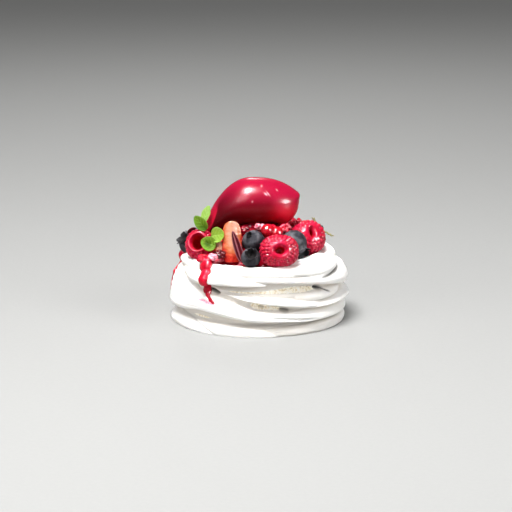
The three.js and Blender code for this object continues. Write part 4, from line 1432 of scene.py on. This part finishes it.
@dataclass
class Raspberry:
    """A hulled raspberry: rows of drupelets round a hollow whose mouth faces one way.

    The size is width, height and length, and the mouth is the hollow's width and height. The gap
    lies between two drupelets, and the lip is the smoother stretch round the mouth. The hollow
    ends at a share of the length, counted from the berry's middle.
    """

    name: str
    at: Place
    size: tuple[float, float, float]
    mouth: tuple[float, float]
    facing: Facing
    gap: float = 2.7
    relief: float = 1.25
    seed: int = 1
    lip: float = 1.8
    corners: float = 0.02
    hollow_end: float = 0.08
    columns: int = 240
    rows: int = 160

    def profile(self) -> SmoothCurve:
        """Works out half the berry's outline.

        Returns:
            The curve from the tip, over the lip, to the hollow's end.
        """
        width, _, length = self.size
        mouth = sum(self.mouth) / 4
        lip = mouth + 0.2 * (0.5 * width - mouth)
        end = self.hollow_end
        return SmoothCurve([
            (0, -0.5 * length), (0.2 * width, -0.46 * length), (0.36 * width, -0.34 * length),
            (0.46 * width, -0.16 * length), (0.5 * width, 0.04 * length), (0.46 * width, 0.23 * length),
            (0.37 * width, 0.38 * length), (lip + 0.06 * width, 0.465 * length), (lip, 0.47 * length),
            (0.55 * (lip + mouth), 0.44 * length), (mouth + 0.3, 0.38 * length), (0.95 * mouth, 0.3 * length),
            (0.85 * mouth, (0.16 + 0.45 * end) * length), (0.6 * mouth, (0.04 + 0.86 * end) * length),
            (0, end * length)])

    def build(self, material: Material) -> None:
        """Makes the raspberry.

        Args:
            material: the raspberry's skin.
        """
        width, height, length = self.size
        curve = self.profile()
        lip_run = next(run for run, p in zip(curve.runs, curve.places) if p.y > 0.465 * length)
        hole_run = next(run for run, p in zip(curve.runs, curve.places)
                        if run > lip_run and p.x < sum(self.mouth) / 4 + 0.3)
        draw = random.Random(self.seed)
        centres = []
        rings = round((lip_run - 0.4 * self.gap) / (0.88 * self.gap))
        phase = 0.0
        for ring in range(rings):
            run = self.gap * 0.3 + ring * (lip_run - 0.7 * self.gap) / (rings - 1)
            spot = curve.at(run)[0]
            count = max(round(2 * math.pi * spot.x / self.gap), 1)
            phase += draw.uniform(0.4, 0.6)
            for n in range(count):
                turn = 2 * math.pi * (n + phase + draw.uniform(-0.07, 0.07)) / count
                nudge = draw.uniform(-0.08, 0.08) * self.gap
                r, z = curve.at(max(run + nudge, 0))[0]
                centres.append(spun(r, turn, z))

        def place(column: int, row: int) -> Vector:
            """Returns a point of the berry without its drupelets, squared off a little."""
            turn = ring_turn(column, self.columns)
            run = curve.length * row / self.rows
            r, z = curve.at(run)[0]
            r *= 1 + self.corners * math.sin(2 * turn) ** 2 * (1 - eased(run, lip_run - 3.5, lip_run - 0.5))
            return spun(r, turn, z)

        bm = closed(grid(self.columns, self.rows, place))
        row_mark = bm.verts.layers.int["row"]

        def bumpy(vert: Vert) -> float:
            """Returns how much of the drupelets' relief a vertex has: less at the lip, none inside."""
            run = curve.length * vert[row_mark] / self.rows
            fade = 1 - 0.72 * eased(run, lip_run - self.lip, lip_run - 0.3 * self.lip)
            return fade * (1 - eased(run, lip_run - 0.8, lip_run + 0.3))

        raise_domes(bm, centres, 0.6 * self.gap, self.relief, bumpy)
        mean = sum(self.mouth) / 2
        hollow = bm.verts.layers.float.new("hollow")
        for vert in bm.verts:
            run = curve.length * vert[row_mark] / self.rows
            inside = eased(run, lip_run + 0.2, lip_run + 2.6)
            vert[hollow] = eased(run, hole_run - 0.5, hole_run + 1.3)
            vert.co.x *= 1 + inside * (self.mouth[0] / mean - 1)
            vert.co.y *= 1 + inside * (self.mouth[1] / mean - 1)
            vert.co.y *= height / width
        moved(bm, placement(self.at, self.facing))
        piece("whole_" + self.name, bm, material, [self.name])


@dataclass
class Blueberry:
    """A blueberry: a round body and a lobed crown round a shallow pit.

    The crown is its width, the rise its height, and facing the way that it looks.
    """

    name: str
    at: Place
    diameter: float
    crown: float
    facing: Facing
    seed: int = 1
    rise: float = 1.2
    pit: float = 1.1
    lobes: int = 5
    columns: int = 90
    rows: int = 72

    def build(self, material: Material) -> None:
        """Makes the blueberry.

        Args:
            material: the blueberry's skin.
        """
        radius, crown = self.diameter / 2, self.crown
        neck = math.sqrt(radius ** 2 - (0.4 * crown) ** 2)
        turn_up = math.degrees(math.acos(min(0.46 * crown / radius, 1)))
        ball = [(radius * math.cos(math.radians(a)), radius * math.sin(math.radians(a)))
                for a in (-90, -70, -50, -30, -10, 10, 30, 44, turn_up - 4) if a <= turn_up - 4]
        rim = len(ball) + 1
        curve = SmoothCurve([
            *ball, (0.41 * crown, neck + 0.25 * self.rise), (0.47 * crown, neck + 0.8 * self.rise),
            (0.5 * crown, neck + self.rise), (0.45 * crown, neck + 0.8 * self.rise),
            (0.36 * crown, neck + 0.1), (0.24 * crown, neck - 0.6 * self.pit), (0, neck - self.pit)])
        knots = len(curve.places) - 1
        step = knots // (len(ball) + 6)
        start, top, end = [curve.runs[min(step * n, knots)] for n in (rim - 1, rim + 1, rim + 3)]
        shift = random.Random(self.seed).uniform(0, 6)

        def place(column: int, row: int) -> Vector:
            """Returns a point of the berry, with its crown cut into ragged flaps."""
            turn = ring_turn(column, self.columns)
            run = curve.length * row / self.rows
            r, z = curve.at(run)[0]
            flap = eased(run, start, top) * (1 - eased(run, top, end))
            lobe = abs(math.cos(0.5 * self.lobes * (turn + shift))) ** 0.35
            ragged = 0.16 * noise.noise(spun(2, turn, shift))
            r *= 1 + flap * (0.34 * (lobe - 0.72) + ragged)
            z -= flap * self.rise * (0.75 * (1 - lobe) - ragged)
            point = spun(r, turn, z)
            dent = 0.12 * noise.noise(point * 0.32 + Vector((shift, 0, 0)))
            return point * (1 + dent / radius)

        bm = closed(grid(self.columns, self.rows, place))
        row_mark = bm.verts.layers.int["row"]

        def run_of(vert: Vert) -> float:
            """Returns how far along the outline a vertex lies."""
            return curve.length * vert[row_mark] / self.rows

        marked(bm, "crown", lambda v: 0.8 * eased(run_of(v), start - 0.3, top))
        marked(bm, "pit", lambda v: eased(run_of(v), top + 0.2, end + 0.6))
        moved(bm, placement(self.at, self.facing))
        piece("whole_" + self.name, bm, material, [self.name])


@dataclass
class StrawberryWedge:
    """A strawberry cut lengthwise, standing on its hulled end with its tip up.

    The slice is the angle between the two cut faces, and the outline gives shares of the width
    and the length.
    """

    name: str
    foot: Place
    width: float
    length: float
    slice: float
    lean: float
    turn: float
    face_columns: int = 26
    skin_columns: int = 52
    rows: int = 78
    rounding_steps: int = 14
    seed_gap: float = 2.6
    seed_pit: float = 0.42
    seed_height: float = 0.3
    fibre_relief: float = 0.16
    outline: Stations = (
        (0, 0), (0.34, 0.01), (0.44, 0.09), (0.49, 0.28), (0.49, 0.55), (0.45, 0.76),
        (0.35, 0.91), (0.19, 0.98), (0, 1))

    def build(self, material: Material) -> None:
        """Makes the piece of strawberry.

        Args:
            material: the strawberry.
        """
        curve = SmoothCurve([(r * self.width, z * self.length) for r, z in self.outline])
        half = math.radians(self.slice / 2)
        columns = 2 * self.face_columns + self.skin_columns

        def across(column: int, radius: float) -> tuple[float, float, float]:
            """Finds a point of one cross-section, which is a slice of a disc.

            Args:
                column: the point's column, counted round the slice.
                radius: the radius of the whole fruit at that height.

            Returns:
                Its x and y, and 1 on the skin down to 0 at the slice's inner edge.
            """
            apex = -min(0.1 * self.width, 0.7 * radius)
            ahead = -apex * math.cos(half)
            reach = ahead + math.sqrt(max(ahead * ahead - apex * apex + radius * radius, 0))
            corner = Vector((reach * math.sin(half), apex + reach * math.cos(half)))
            wide = math.atan2(corner.x, corner.y)
            if column < self.face_columns or column > columns - self.face_columns:
                share = min(column, columns - column) / self.face_columns
                sign = -1 if column < self.face_columns else 1
                return sign * corner.x * share, apex + (corner.y - apex) * share, share
            share = (column - self.face_columns) / self.skin_columns
            angle = wide * (2 * share - 1)
            return radius * math.sin(angle), radius * math.cos(angle), 1.0

        depths: dict[tuple[int, int], float] = {}

        def place(column: int, row: int) -> Vector:
            """Returns a point of the piece, and notes how deep in the flesh it lies."""
            radius, z = curve.at(curve.length * row / self.rows)[0]
            x, y, share = across(column, max(radius, 0.0))
            depths[column, row] = 1 - share
            return Vector((x, y - 0.22 * self.width, z))

        bm = grid(columns, self.rows, place)
        column_mark, row_mark = bm.verts.layers.int["column"], bm.verts.layers.int["row"]
        flow_layer = bm.verts.layers.float_vector.new("flow")
        skin_columns = range(self.face_columns + 1, columns - self.face_columns)
        marked(bm, "skin", lambda v: float(v[column_mark] in skin_columns))
        depth_layer = bm.verts.layers.float.new("depth")
        for vert in bm.verts:
            depth = depths[vert[column_mark], vert[row_mark]]
            vert[flow_layer] = Vector((vert.co.x / MM * 0.6, 3.0 * depth, vert.co.z / MM))
            height = vert.co.z / (self.length * MM)
            paler = 0.22 * eased(height, 0.5, 0.9)
            vert[depth_layer] = min(depth + 0.02, 0.85) * eased(height, 0.05, 0.5) + paler
        closed(bm)
        for _ in range(self.rounding_steps):
            bmesh.ops.smooth_vert(
                bm, verts=bm.verts, factor=0.5, use_axis_x=True, use_axis_y=True, use_axis_z=True)
        self.seeds(bm)
        lean = Matrix.Rotation(-math.radians(self.lean), 4, "X")
        moved(bm, Matrix.Translation(self.foot) @ Matrix.Rotation(math.radians(self.turn), 4, "Z") @ lean)
        piece("cut_" + self.name, bm, material, [self.name])

    def seeds(self, bm: Mesh) -> None:
        """Presses seeds into the skin and fine fibres into the cut faces.

        Args:
            bm: the strawberry's mesh, with its skin attribute.
        """
        skin = bm.verts.layers.float["skin"]
        seed = bm.verts.layers.float.new("seed")
        spots: list[Vector] = []
        for vert in bm.verts:
            if vert[skin] > 0.9 and all((vert.co - spot).length > self.seed_gap * MM for spot in spots):
                spots.append(vert.co.copy())
        tree = search_tree(spots)
        bm.normal_update()
        shifts = []
        for vert in bm.verts:
            near = tree.find(vert.co)[2] / MM
            dent = self.seed_pit * bell(near, 0.75) * vert[skin]
            vert[seed] = eased(0.5 - near, 0, 0.3) * vert[skin]
            fibre = noise.noise(Vector((vert.co.x * 260, vert.co.y * 260, vert.co.z * 700)))
            out = self.fibre_relief * fibre * (1 - vert[skin]) - dent + self.seed_height * vert[seed]
            shifts.append(vert.normal * out * MM)
        shifted(bm, shifts)


@dataclass
class Currant:
    """A red currant: a taut ball with the dry remains of its flower at one end."""

    name: str
    at: Place
    diameter: float
    facing: Facing
    tuft: float = 0.55
    dimple: float = 0.16
    ribs: int = 8

    def build(self, material: Material) -> None:
        """Makes the currant.

        Args:
            material: the currant's skin.
        """
        radius = self.diameter / 2
        bm = bmesh.new()
        bmesh.ops.create_uvsphere(bm, u_segments=48, v_segments=36, radius=radius * MM)
        for vert in bm.verts:
            polar = math.hypot(vert.co.x, vert.co.y) / MM
            turn = math.atan2(vert.co.y, vert.co.x)
            if vert.co.z > 0:
                tuft = self.tuft * bell(polar, 0.16 * radius) * (1 + 0.4 * math.cos(5 * turn))
                vert.co.z += (tuft - self.dimple * bell(polar - 0.26 * radius, 0.12 * radius)) * MM
            vert.co *= 1 + 0.012 * math.cos(self.ribs * turn)
        marked(bm, "calyx", lambda v: bell(math.hypot(v.co.x, v.co.y) / MM, 0.2 * radius) * float(v.co.z > 0))
        moved(bm, placement(self.at, self.facing))
        bmesh.ops.recalc_face_normals(bm, faces=bm.faces)
        piece("round_" + self.name, bm, material, [self.name])


# The leaves


def turned_up(along: Vector) -> Matrix:
    """Returns the turn that brings a shape's +Z axis to a direction."""
    return Vector((0, 0, 1)).rotation_difference(along).to_matrix().to_4x4()


def add_twig(bm: Mesh, foot: Vector, top: Vector, radius: float) -> None:
    """Adds a thin round twig as a closed shape of its own.

    Args:
        bm: the mesh that it is added to.
        foot: its lower end, in millimetres.
        top: its upper end, which is a quarter thinner.
        radius: its radius at the foot.
    """
    middle, along = (foot + top) / 2, top - foot
    bmesh.ops.create_cone(
        bm, cap_ends=True, segments=12, radius1=radius * MM, radius2=0.75 * radius * MM,
        depth=along.length * MM, matrix=Matrix.Translation(middle * MM) @ turned_up(along))


@dataclass
class Leaf:
    """A small leaf from its stem end to its tip: a cupped blade with a midrib and side veins.

    Its face looks at an azimuth and an elevation. Stripes are lengthwise veins in the place of
    side veins; on the striped red leaf they are painted highlight lines. A darker middle, painted
    shade in the blade's cup, is given by its place along the blade and its strength.
    """

    name: str
    start: Place
    tip: Place
    width: float
    cup: float
    faces: Facing
    stripes: int = 0
    dip: tuple[float, float] = (0.5, 0.0)
    stalk_foot: Place | None = None
    thickness: float = 0.42
    stalk_radius: float = 0.45
    vein_pitch: float = 26.0
    vein_slant: float = 0.32
    columns: int = 40
    rows: int = 56

    def build(self, material: Material, slot: Slot) -> None:
        """Makes the leaf.

        Args:
            material: the leaf's finish.
            slot: the slot of that finish; it is not used.
        """
        start = Vector(self.start)
        spine = Vector(self.tip) - start
        forward = spine.normalized()
        side = heading(*self.faces).cross(forward).normalized()
        face = forward.cross(side)
        shares: dict[tuple[int, int], tuple[float, float]] = {}

        def side_veins(t: float, s: float) -> float:
            """Returns a wave that runs from 1 on a side vein to -1 between two."""
            return math.cos(self.vein_pitch * (t - self.vein_slant * abs(s)))

        def place(column: int, row: int) -> Vector:
            """Returns a point of the blade's middle, and notes its shares along and across."""
            t, s = row / self.rows, 2 * column / self.columns - 1
            shares[column, row] = (t, s)
            half = 0.5 * self.width * (0.08 * (1 - t) + 0.97 * math.sin(math.pi * t ** 0.85) ** 0.5)
            rise = self.cup * (s * s * half / (0.5 * self.width) + 0.9 * (t - 0.4) ** 2)
            wave = 0.12 * math.sin(11 * t + 2 * s) * s * s
            groove = 0.2 * bell(s, 0.1) * (1 - t)
            ribs = 0.07 * side_veins(t, s) * (1 - abs(s))
            return start + forward * spine.length * t + side * s * half + face * (rise + wave - groove + ribs)

        bm = grid(self.columns, self.rows, place)
        column_mark, row_mark = bm.verts.layers.int["column"], bm.verts.layers.int["row"]
        layers = [bm.verts.layers.float.new(name) for name in ("dip", "along", "across", "vein")]
        for vert in bm.verts:
            t, s = shares[vert[column_mark], vert[row_mark]]
            # Painted shade: the cupped middle of the blade is darker.
            dip = self.dip[1] * math.exp(-((t - self.dip[0]) / 0.24) ** 4 - (s / 0.5) ** 4)
            if self.stripes:
                vein = eased(math.cos(math.pi * self.stripes * s), 0.1, 0.8)
            else:
                vein = max(bell(s, 0.07) * (1 - t), 0.5 * eased(side_veins(t, s), 0.75, 1.0))
            for layer, value in zip(layers, (dip, t, abs(s), vein)):
                vert[layer] = value
        bmesh.ops.solidify(bm, geom=bm.faces, thickness=self.thickness * MM)
        closed(bm)
        if self.stalk_foot:
            add_twig(bm, Vector(self.stalk_foot), start + 0.08 * spine, self.stalk_radius)
        piece("blade_" + self.name, bm, material, [self.name])


@dataclass
class HerbSprig:
    """A curved stem of a fine herb with small needle leaves at both its ends.

    A twig from the stem's middle rests on the blueberry below. The leaflets give their shares of
    the stem's length, and their half widths are given across and through the needle.
    """

    stem: Stations = (
        (28.9, 7.6, 50.7), (30.2, 7.6, 48.3), (32.2, 6.9, 46), (34.6, 5.2, 44.7), (38.3, 3.5, 42.7))
    rests_at: Place = (30.8, 8.7, 44.6)
    thickness: float = 0.8
    twig_radius: float = 0.4
    leaflets: tuple[float, ...] = (0.02, 0.07, 0.12, 0.18, 0.25, 0.62, 0.7, 0.77, 0.84, 0.9, 0.96)
    leaflet_length: float = 2.0
    leaflet_halves: tuple[float, float] = (0.36, 0.24)
    leaflet_splay: float = 18.0
    sides: int = 12
    steps: int = 60

    def build(self, material: Material) -> None:
        """Makes the sprig as one piece.

        Args:
            material: the herb.
        """
        curve = SmoothCurve(self.stem)

        def place(column: int, row: int) -> Vector:
            """Returns a point of the stem's skin."""
            centre, along = curve.at(curve.length * row / self.steps)
            side = along.cross(Vector((0, 1, 0))).normalized()
            over = side.cross(along)
            radius = 0.5 * self.thickness * round_tip(min(row, self.steps - row) / 4)
            angle = ring_turn(column, self.sides)
            return centre + (side * math.cos(angle) + over * math.sin(angle)) * radius

        bm = closed(grid(self.sides, self.steps, place))
        for n, share in enumerate(self.leaflets):
            base, along = curve.at(curve.length * share)
            turn = math.radians(self.leaflet_splay if n % 2 else -self.leaflet_splay)
            direction = Matrix.Rotation(turn, 3, "Y") @ along
            outward = -direction if share < 0.5 else direction
            made = bmesh.ops.create_uvsphere(bm, u_segments=12, v_segments=10, radius=MM)
            shape = Matrix.Diagonal((*self.leaflet_halves, 0.5 * self.leaflet_length, 1))
            matrix = turned_up(outward) @ shape
            matrix.translation = (base + outward * 0.42 * self.leaflet_length) * MM
            bmesh.ops.transform(bm, matrix=matrix, verts=made["verts"])
        add_twig(bm, Vector(self.rests_at), Vector(self.stem[2]), self.twig_radius)
        bmesh.ops.recalc_face_normals(bm, faces=bm.faces)
        piece("herb_stem", bm, material, ["herb_sprig"])


# The studio


class LitBy(Enum):
    """Which part of a surface's answer a light takes: all of it, its own colour, or its gloss."""

    ALL = "all"
    COLOUR = "colour"
    GLOSS = "gloss"


@dataclass(frozen=True)
class SoftLight:
    """A round or oval soft light that looks at the middle of the part; its lengths are metres."""

    name: str
    azimuth: float
    elevation: float
    distance: float
    size: float
    watts: float
    acts_on: LitBy = LitBy.ALL
    tall: float = 1.0

    def build(self, target: Vector) -> None:
        """Hangs the light.

        Args:
            target: what it looks at, in metres.
        """
        lamp = bpy.data.lights.new(self.name, "AREA")
        lamp.shape = "ELLIPSE"
        lamp.size = self.size
        lamp.size_y = self.size * self.tall
        lamp.energy = self.watts
        item = linked(self.name, lamp)
        item.visible_glossy = self.acts_on is not LitBy.COLOUR
        item.visible_diffuse = self.acts_on is not LitBy.GLOSS
        item.location = target + heading(self.azimuth, self.elevation) * self.distance
        item.rotation_euler = (target - item.location).to_track_quat("-Z", "Y").to_euler()


@dataclass
class Studio:
    """A pale paper floor, soft lights, and the camera at the photograph's angle.

    The target, the lens and the sensor are millimetres, and the other lengths are metres.
    """

    target: Place = (-1.6, 0.0, 32.5)
    distance: float = 1.2
    elevation: float = 13.5
    lens: float = 160.3
    sensor: float = 36.0
    floor_side: float = 12.0
    lights: tuple[SoftLight, ...] = (
        SoftLight("overhead_disc", -26, 69, 0.95, 0.5, watts=20.0, acts_on=LitBy.COLOUR),
        SoftLight("overhead_sheen", -30, 68, 0.95, 0.27, watts=64.0, acts_on=LitBy.GLOSS, tall=1.3),
        SoftLight("left_sheen", -31, 42, 1.0, 0.46, watts=10.0, acts_on=LitBy.GLOSS),
        SoftLight("front_left_fill", -54, 24, 1.5, 0.7, watts=6.5, acts_on=LitBy.COLOUR),
        SoftLight("right_fill", 62, 34, 1.4, 0.6, watts=7.0, acts_on=LitBy.COLOUR),
        SoftLight("right_sheen", 55, 16, 1.1, 0.36, watts=48.0, acts_on=LitBy.GLOSS, tall=1.2),
        SoftLight("back_card", 182, 36, 1.0, 0.14, watts=1.7),
    )
    surround: float = 0.16

    def build(self, paper: Material) -> None:
        """Makes the floor, the lights and the camera.

        Args:
            paper: the floor's material.
        """
        bm = bmesh.new()
        bmesh.ops.create_grid(bm, x_segments=4, y_segments=4, size=self.floor_side / 2)
        mesh = bpy.data.meshes.new("paper_floor")
        bm.to_mesh(mesh)
        bm.free()
        mesh.materials.append(paper)
        floor = linked("paper_floor", mesh)
        target = Vector(self.target) * MM
        for light in self.lights:
            light.build(target)
        world = bpy.data.worlds.new("soft_surround")
        world.use_nodes = True
        background = world.node_tree.nodes["Background"].inputs
        background["Color"].default_value = linear("#FFFFFF")
        background["Strength"].default_value = self.surround
        bpy.context.scene.world = world
        camera = bpy.data.cameras.new("camera")
        camera.sensor_width = self.sensor
        camera.lens = self.lens
        eye = linked("camera", camera)
        eye.location = target + heading(0, self.elevation) * self.distance
        eye.rotation_euler = (target - eye.location).to_track_quat("-Z", "Y").to_euler()
        bpy.context.scene.camera = eye
        bpy.context.scene.view_settings.view_transform = "Standard"


RASPBERRIES = (
    Raspberry("raspberry_front", (10.2, -31, 42.5), (20.0, 16.6, 17), (4.8, 4.4), (4, 17),
              gap=2.35, relief=0.9, seed=3, lip=0.8, corners=0.07, hollow_end=0.16),
    Raspberry("raspberry_right", (25.3, -2.8, 42.7), (18.6, 18.4, 18.4), (1.6, 4.2), (20, 36),
              gap=2.3, relief=1.0, seed=5, lip=2.2),
    Raspberry("raspberry_left", (-30.6, -12.6, 41.5), (15.2, 16.2, 15), (6.4, 7.2), (-11, 26),
              gap=2.25, relief=1.1, seed=7, lip=0.9, hollow_end=-0.22),
    Raspberry("raspberry_back_right", (11.4, 25.0, 41.8), (18.4, 17.4, 17), (5, 5), (156, 22),
              gap=2.5, relief=1.3, seed=9),
    Raspberry("raspberry_back_left", (-21.4, 20, 43.3), (17, 16.6, 16.4), (4.6, 4.6), (222, 35),
              gap=2.4, relief=1.2, seed=11),
)
BLUEBERRIES = (
    Blueberry("blueberry_front_upper", (-2.9, -23.2, 45.8), 11.6, 3.2, (-32, 46), seed=1),
    Blueberry("blueberry_front_lower", (-4.3, -33, 39.5), 10, 6.4, (4, 36), seed=2, rise=1.5, pit=2.4),
    Blueberry("blueberry_right", (17.9, -16.4, 43.2), 13.8, 8, (50, -34), seed=3, rise=3.0),
    Blueberry("blueberry_left", (-37.0, 0.2, 39.0), 10, 7.6, (-62, 44), seed=4, rise=1.6),
    Blueberry("blueberry_back_right", (27.8, 12.8, 41.6), 12.4, 5, (120, 20), seed=5),
    Blueberry("blueberry_back_middle", (-4.4, 31.3, 41.1), 12, 5, (176, 30), seed=6),
    Blueberry("blueberry_back_left", (-33.5, 11.4, 39.5), 11.4, 5, (250, 10), seed=7),
)
STRAWBERRIES = (
    StrawberryWedge("strawberry_front", (-13.9, -24.2, 35), 10.8, 21.4, slice=146, lean=12, turn=4),
    StrawberryWedge("strawberry_side", (-20.2, -24.0, 38.0), 6.0, 7.8, slice=140, lean=14, turn=4),
    StrawberryWedge("strawberry_back", (-1.6, 21.4, 35), 16, 18, slice=100, lean=14, turn=184),
)
CURRANTS = (
    Currant("currant_front_left", (4.3, -20.4, 50.9), 7.0, (200, 30)),
    Currant("currant_front_right", (9.0, -19.8, 49.3), 7.2, (80, -20)),
    Currant("currant_back", (-10.4, 19, 49.4), 6.6, (200, 30)),
)
GREEN_LEAVES = (
    (Leaf("leaf_left", (-27.4, -15.6, 50.4), (-33.4, -14.4, 57.2), 5.6, 0.5, (-20, 30), dip=(0.14, 0.9)),
     CressLeaf("cress_leaf_deep", "#52781A", "#34560C", "#6C9634")),
    (Leaf("leaf_behind", (-29.0, -7.6, 53.0), (-25.7, -6.0, 60.9), 5.4, 0.6, (-40, 16),
          stalk_foot=(-29.0, -9.6, 48.4)),
     CressLeaf("cress_leaf_pale", "#84A64E", "#769C40", "#98B868")),
    (Leaf("leaf_right", (-24.6, -22.4, 48.6), (-17.9, -23.8, 49.9), 7.8, 0.9, (10, 24)),
     CressLeaf("cress_leaf_light", "#7A9834", "#6E8C2A", "#8CAC48")),
    (Leaf("leaf_front", (-22.4, -25.2, 43.9), (-29.9, -24.6, 46.6), 7.2, 0.6, (-6, 22), dip=(0.52, 0.95)),
     CressLeaf("cress_leaf_mid", "#5C8022", "#587A20", "#7CA03A", "#34540A")),
)
DARK_LEAVES = (
    # Painted highlight: this leaf's pale stripes stand for lines of light on its glossy blade.
    (Leaf("leaf_dark_front", (-9.0, -30.3, 36.8), (-13.8, -28, 52.4), 4.2, 0.8, (20, 10), stripes=2),
     CressLeaf("red_leaf_striped", "#3A0A14", "#4A0F1A", "#8A4A54")),
    (Leaf("leaf_dark_back", (-36.8, -0.4, 42.9), (-33.2, -1.6, 48.2), 4.6, 0.8, (-10, 20)),
     CressLeaf("red_leaf", "#3C0812", "#2A050C", "#6A1020")),
)


def main() -> None:
    """Loads the frame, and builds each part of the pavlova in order."""
    logging.basicConfig(level=logging.INFO, format="%(name)s %(message)s")
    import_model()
    Studio().build(SatinPaper().material())
    nest = MeringueNest()
    nest.build(BakedMeringue().material())
    sauce = FruitSauce().material()
    CoulisRuns(nest).build(sauce)
    BerryCompote(nest).build(sauce)
    SorbetQuenelle().build(RedSorbet().material())
    for kinds, finish in (
        (RASPBERRIES, RaspberrySkin()), (BLUEBERRIES, BlueberrySkin()),
        (STRAWBERRIES, StrawberryFlesh()), (CURRANTS, CurrantSkin()),
    ):
        material = finish.material()
        for fruit in kinds:
            fruit.build(material)
    for leaf, finish in GREEN_LEAVES:
        leaf.build(finish.material(), Slot.MICRO_LEAF)
    for leaf, finish in DARK_LEAVES:
        leaf.build(finish.material(), Slot.DARK_LEAF)
    HerbSprig().build(HerbNeedle().material())


if __name__ == "__main__":
    main()
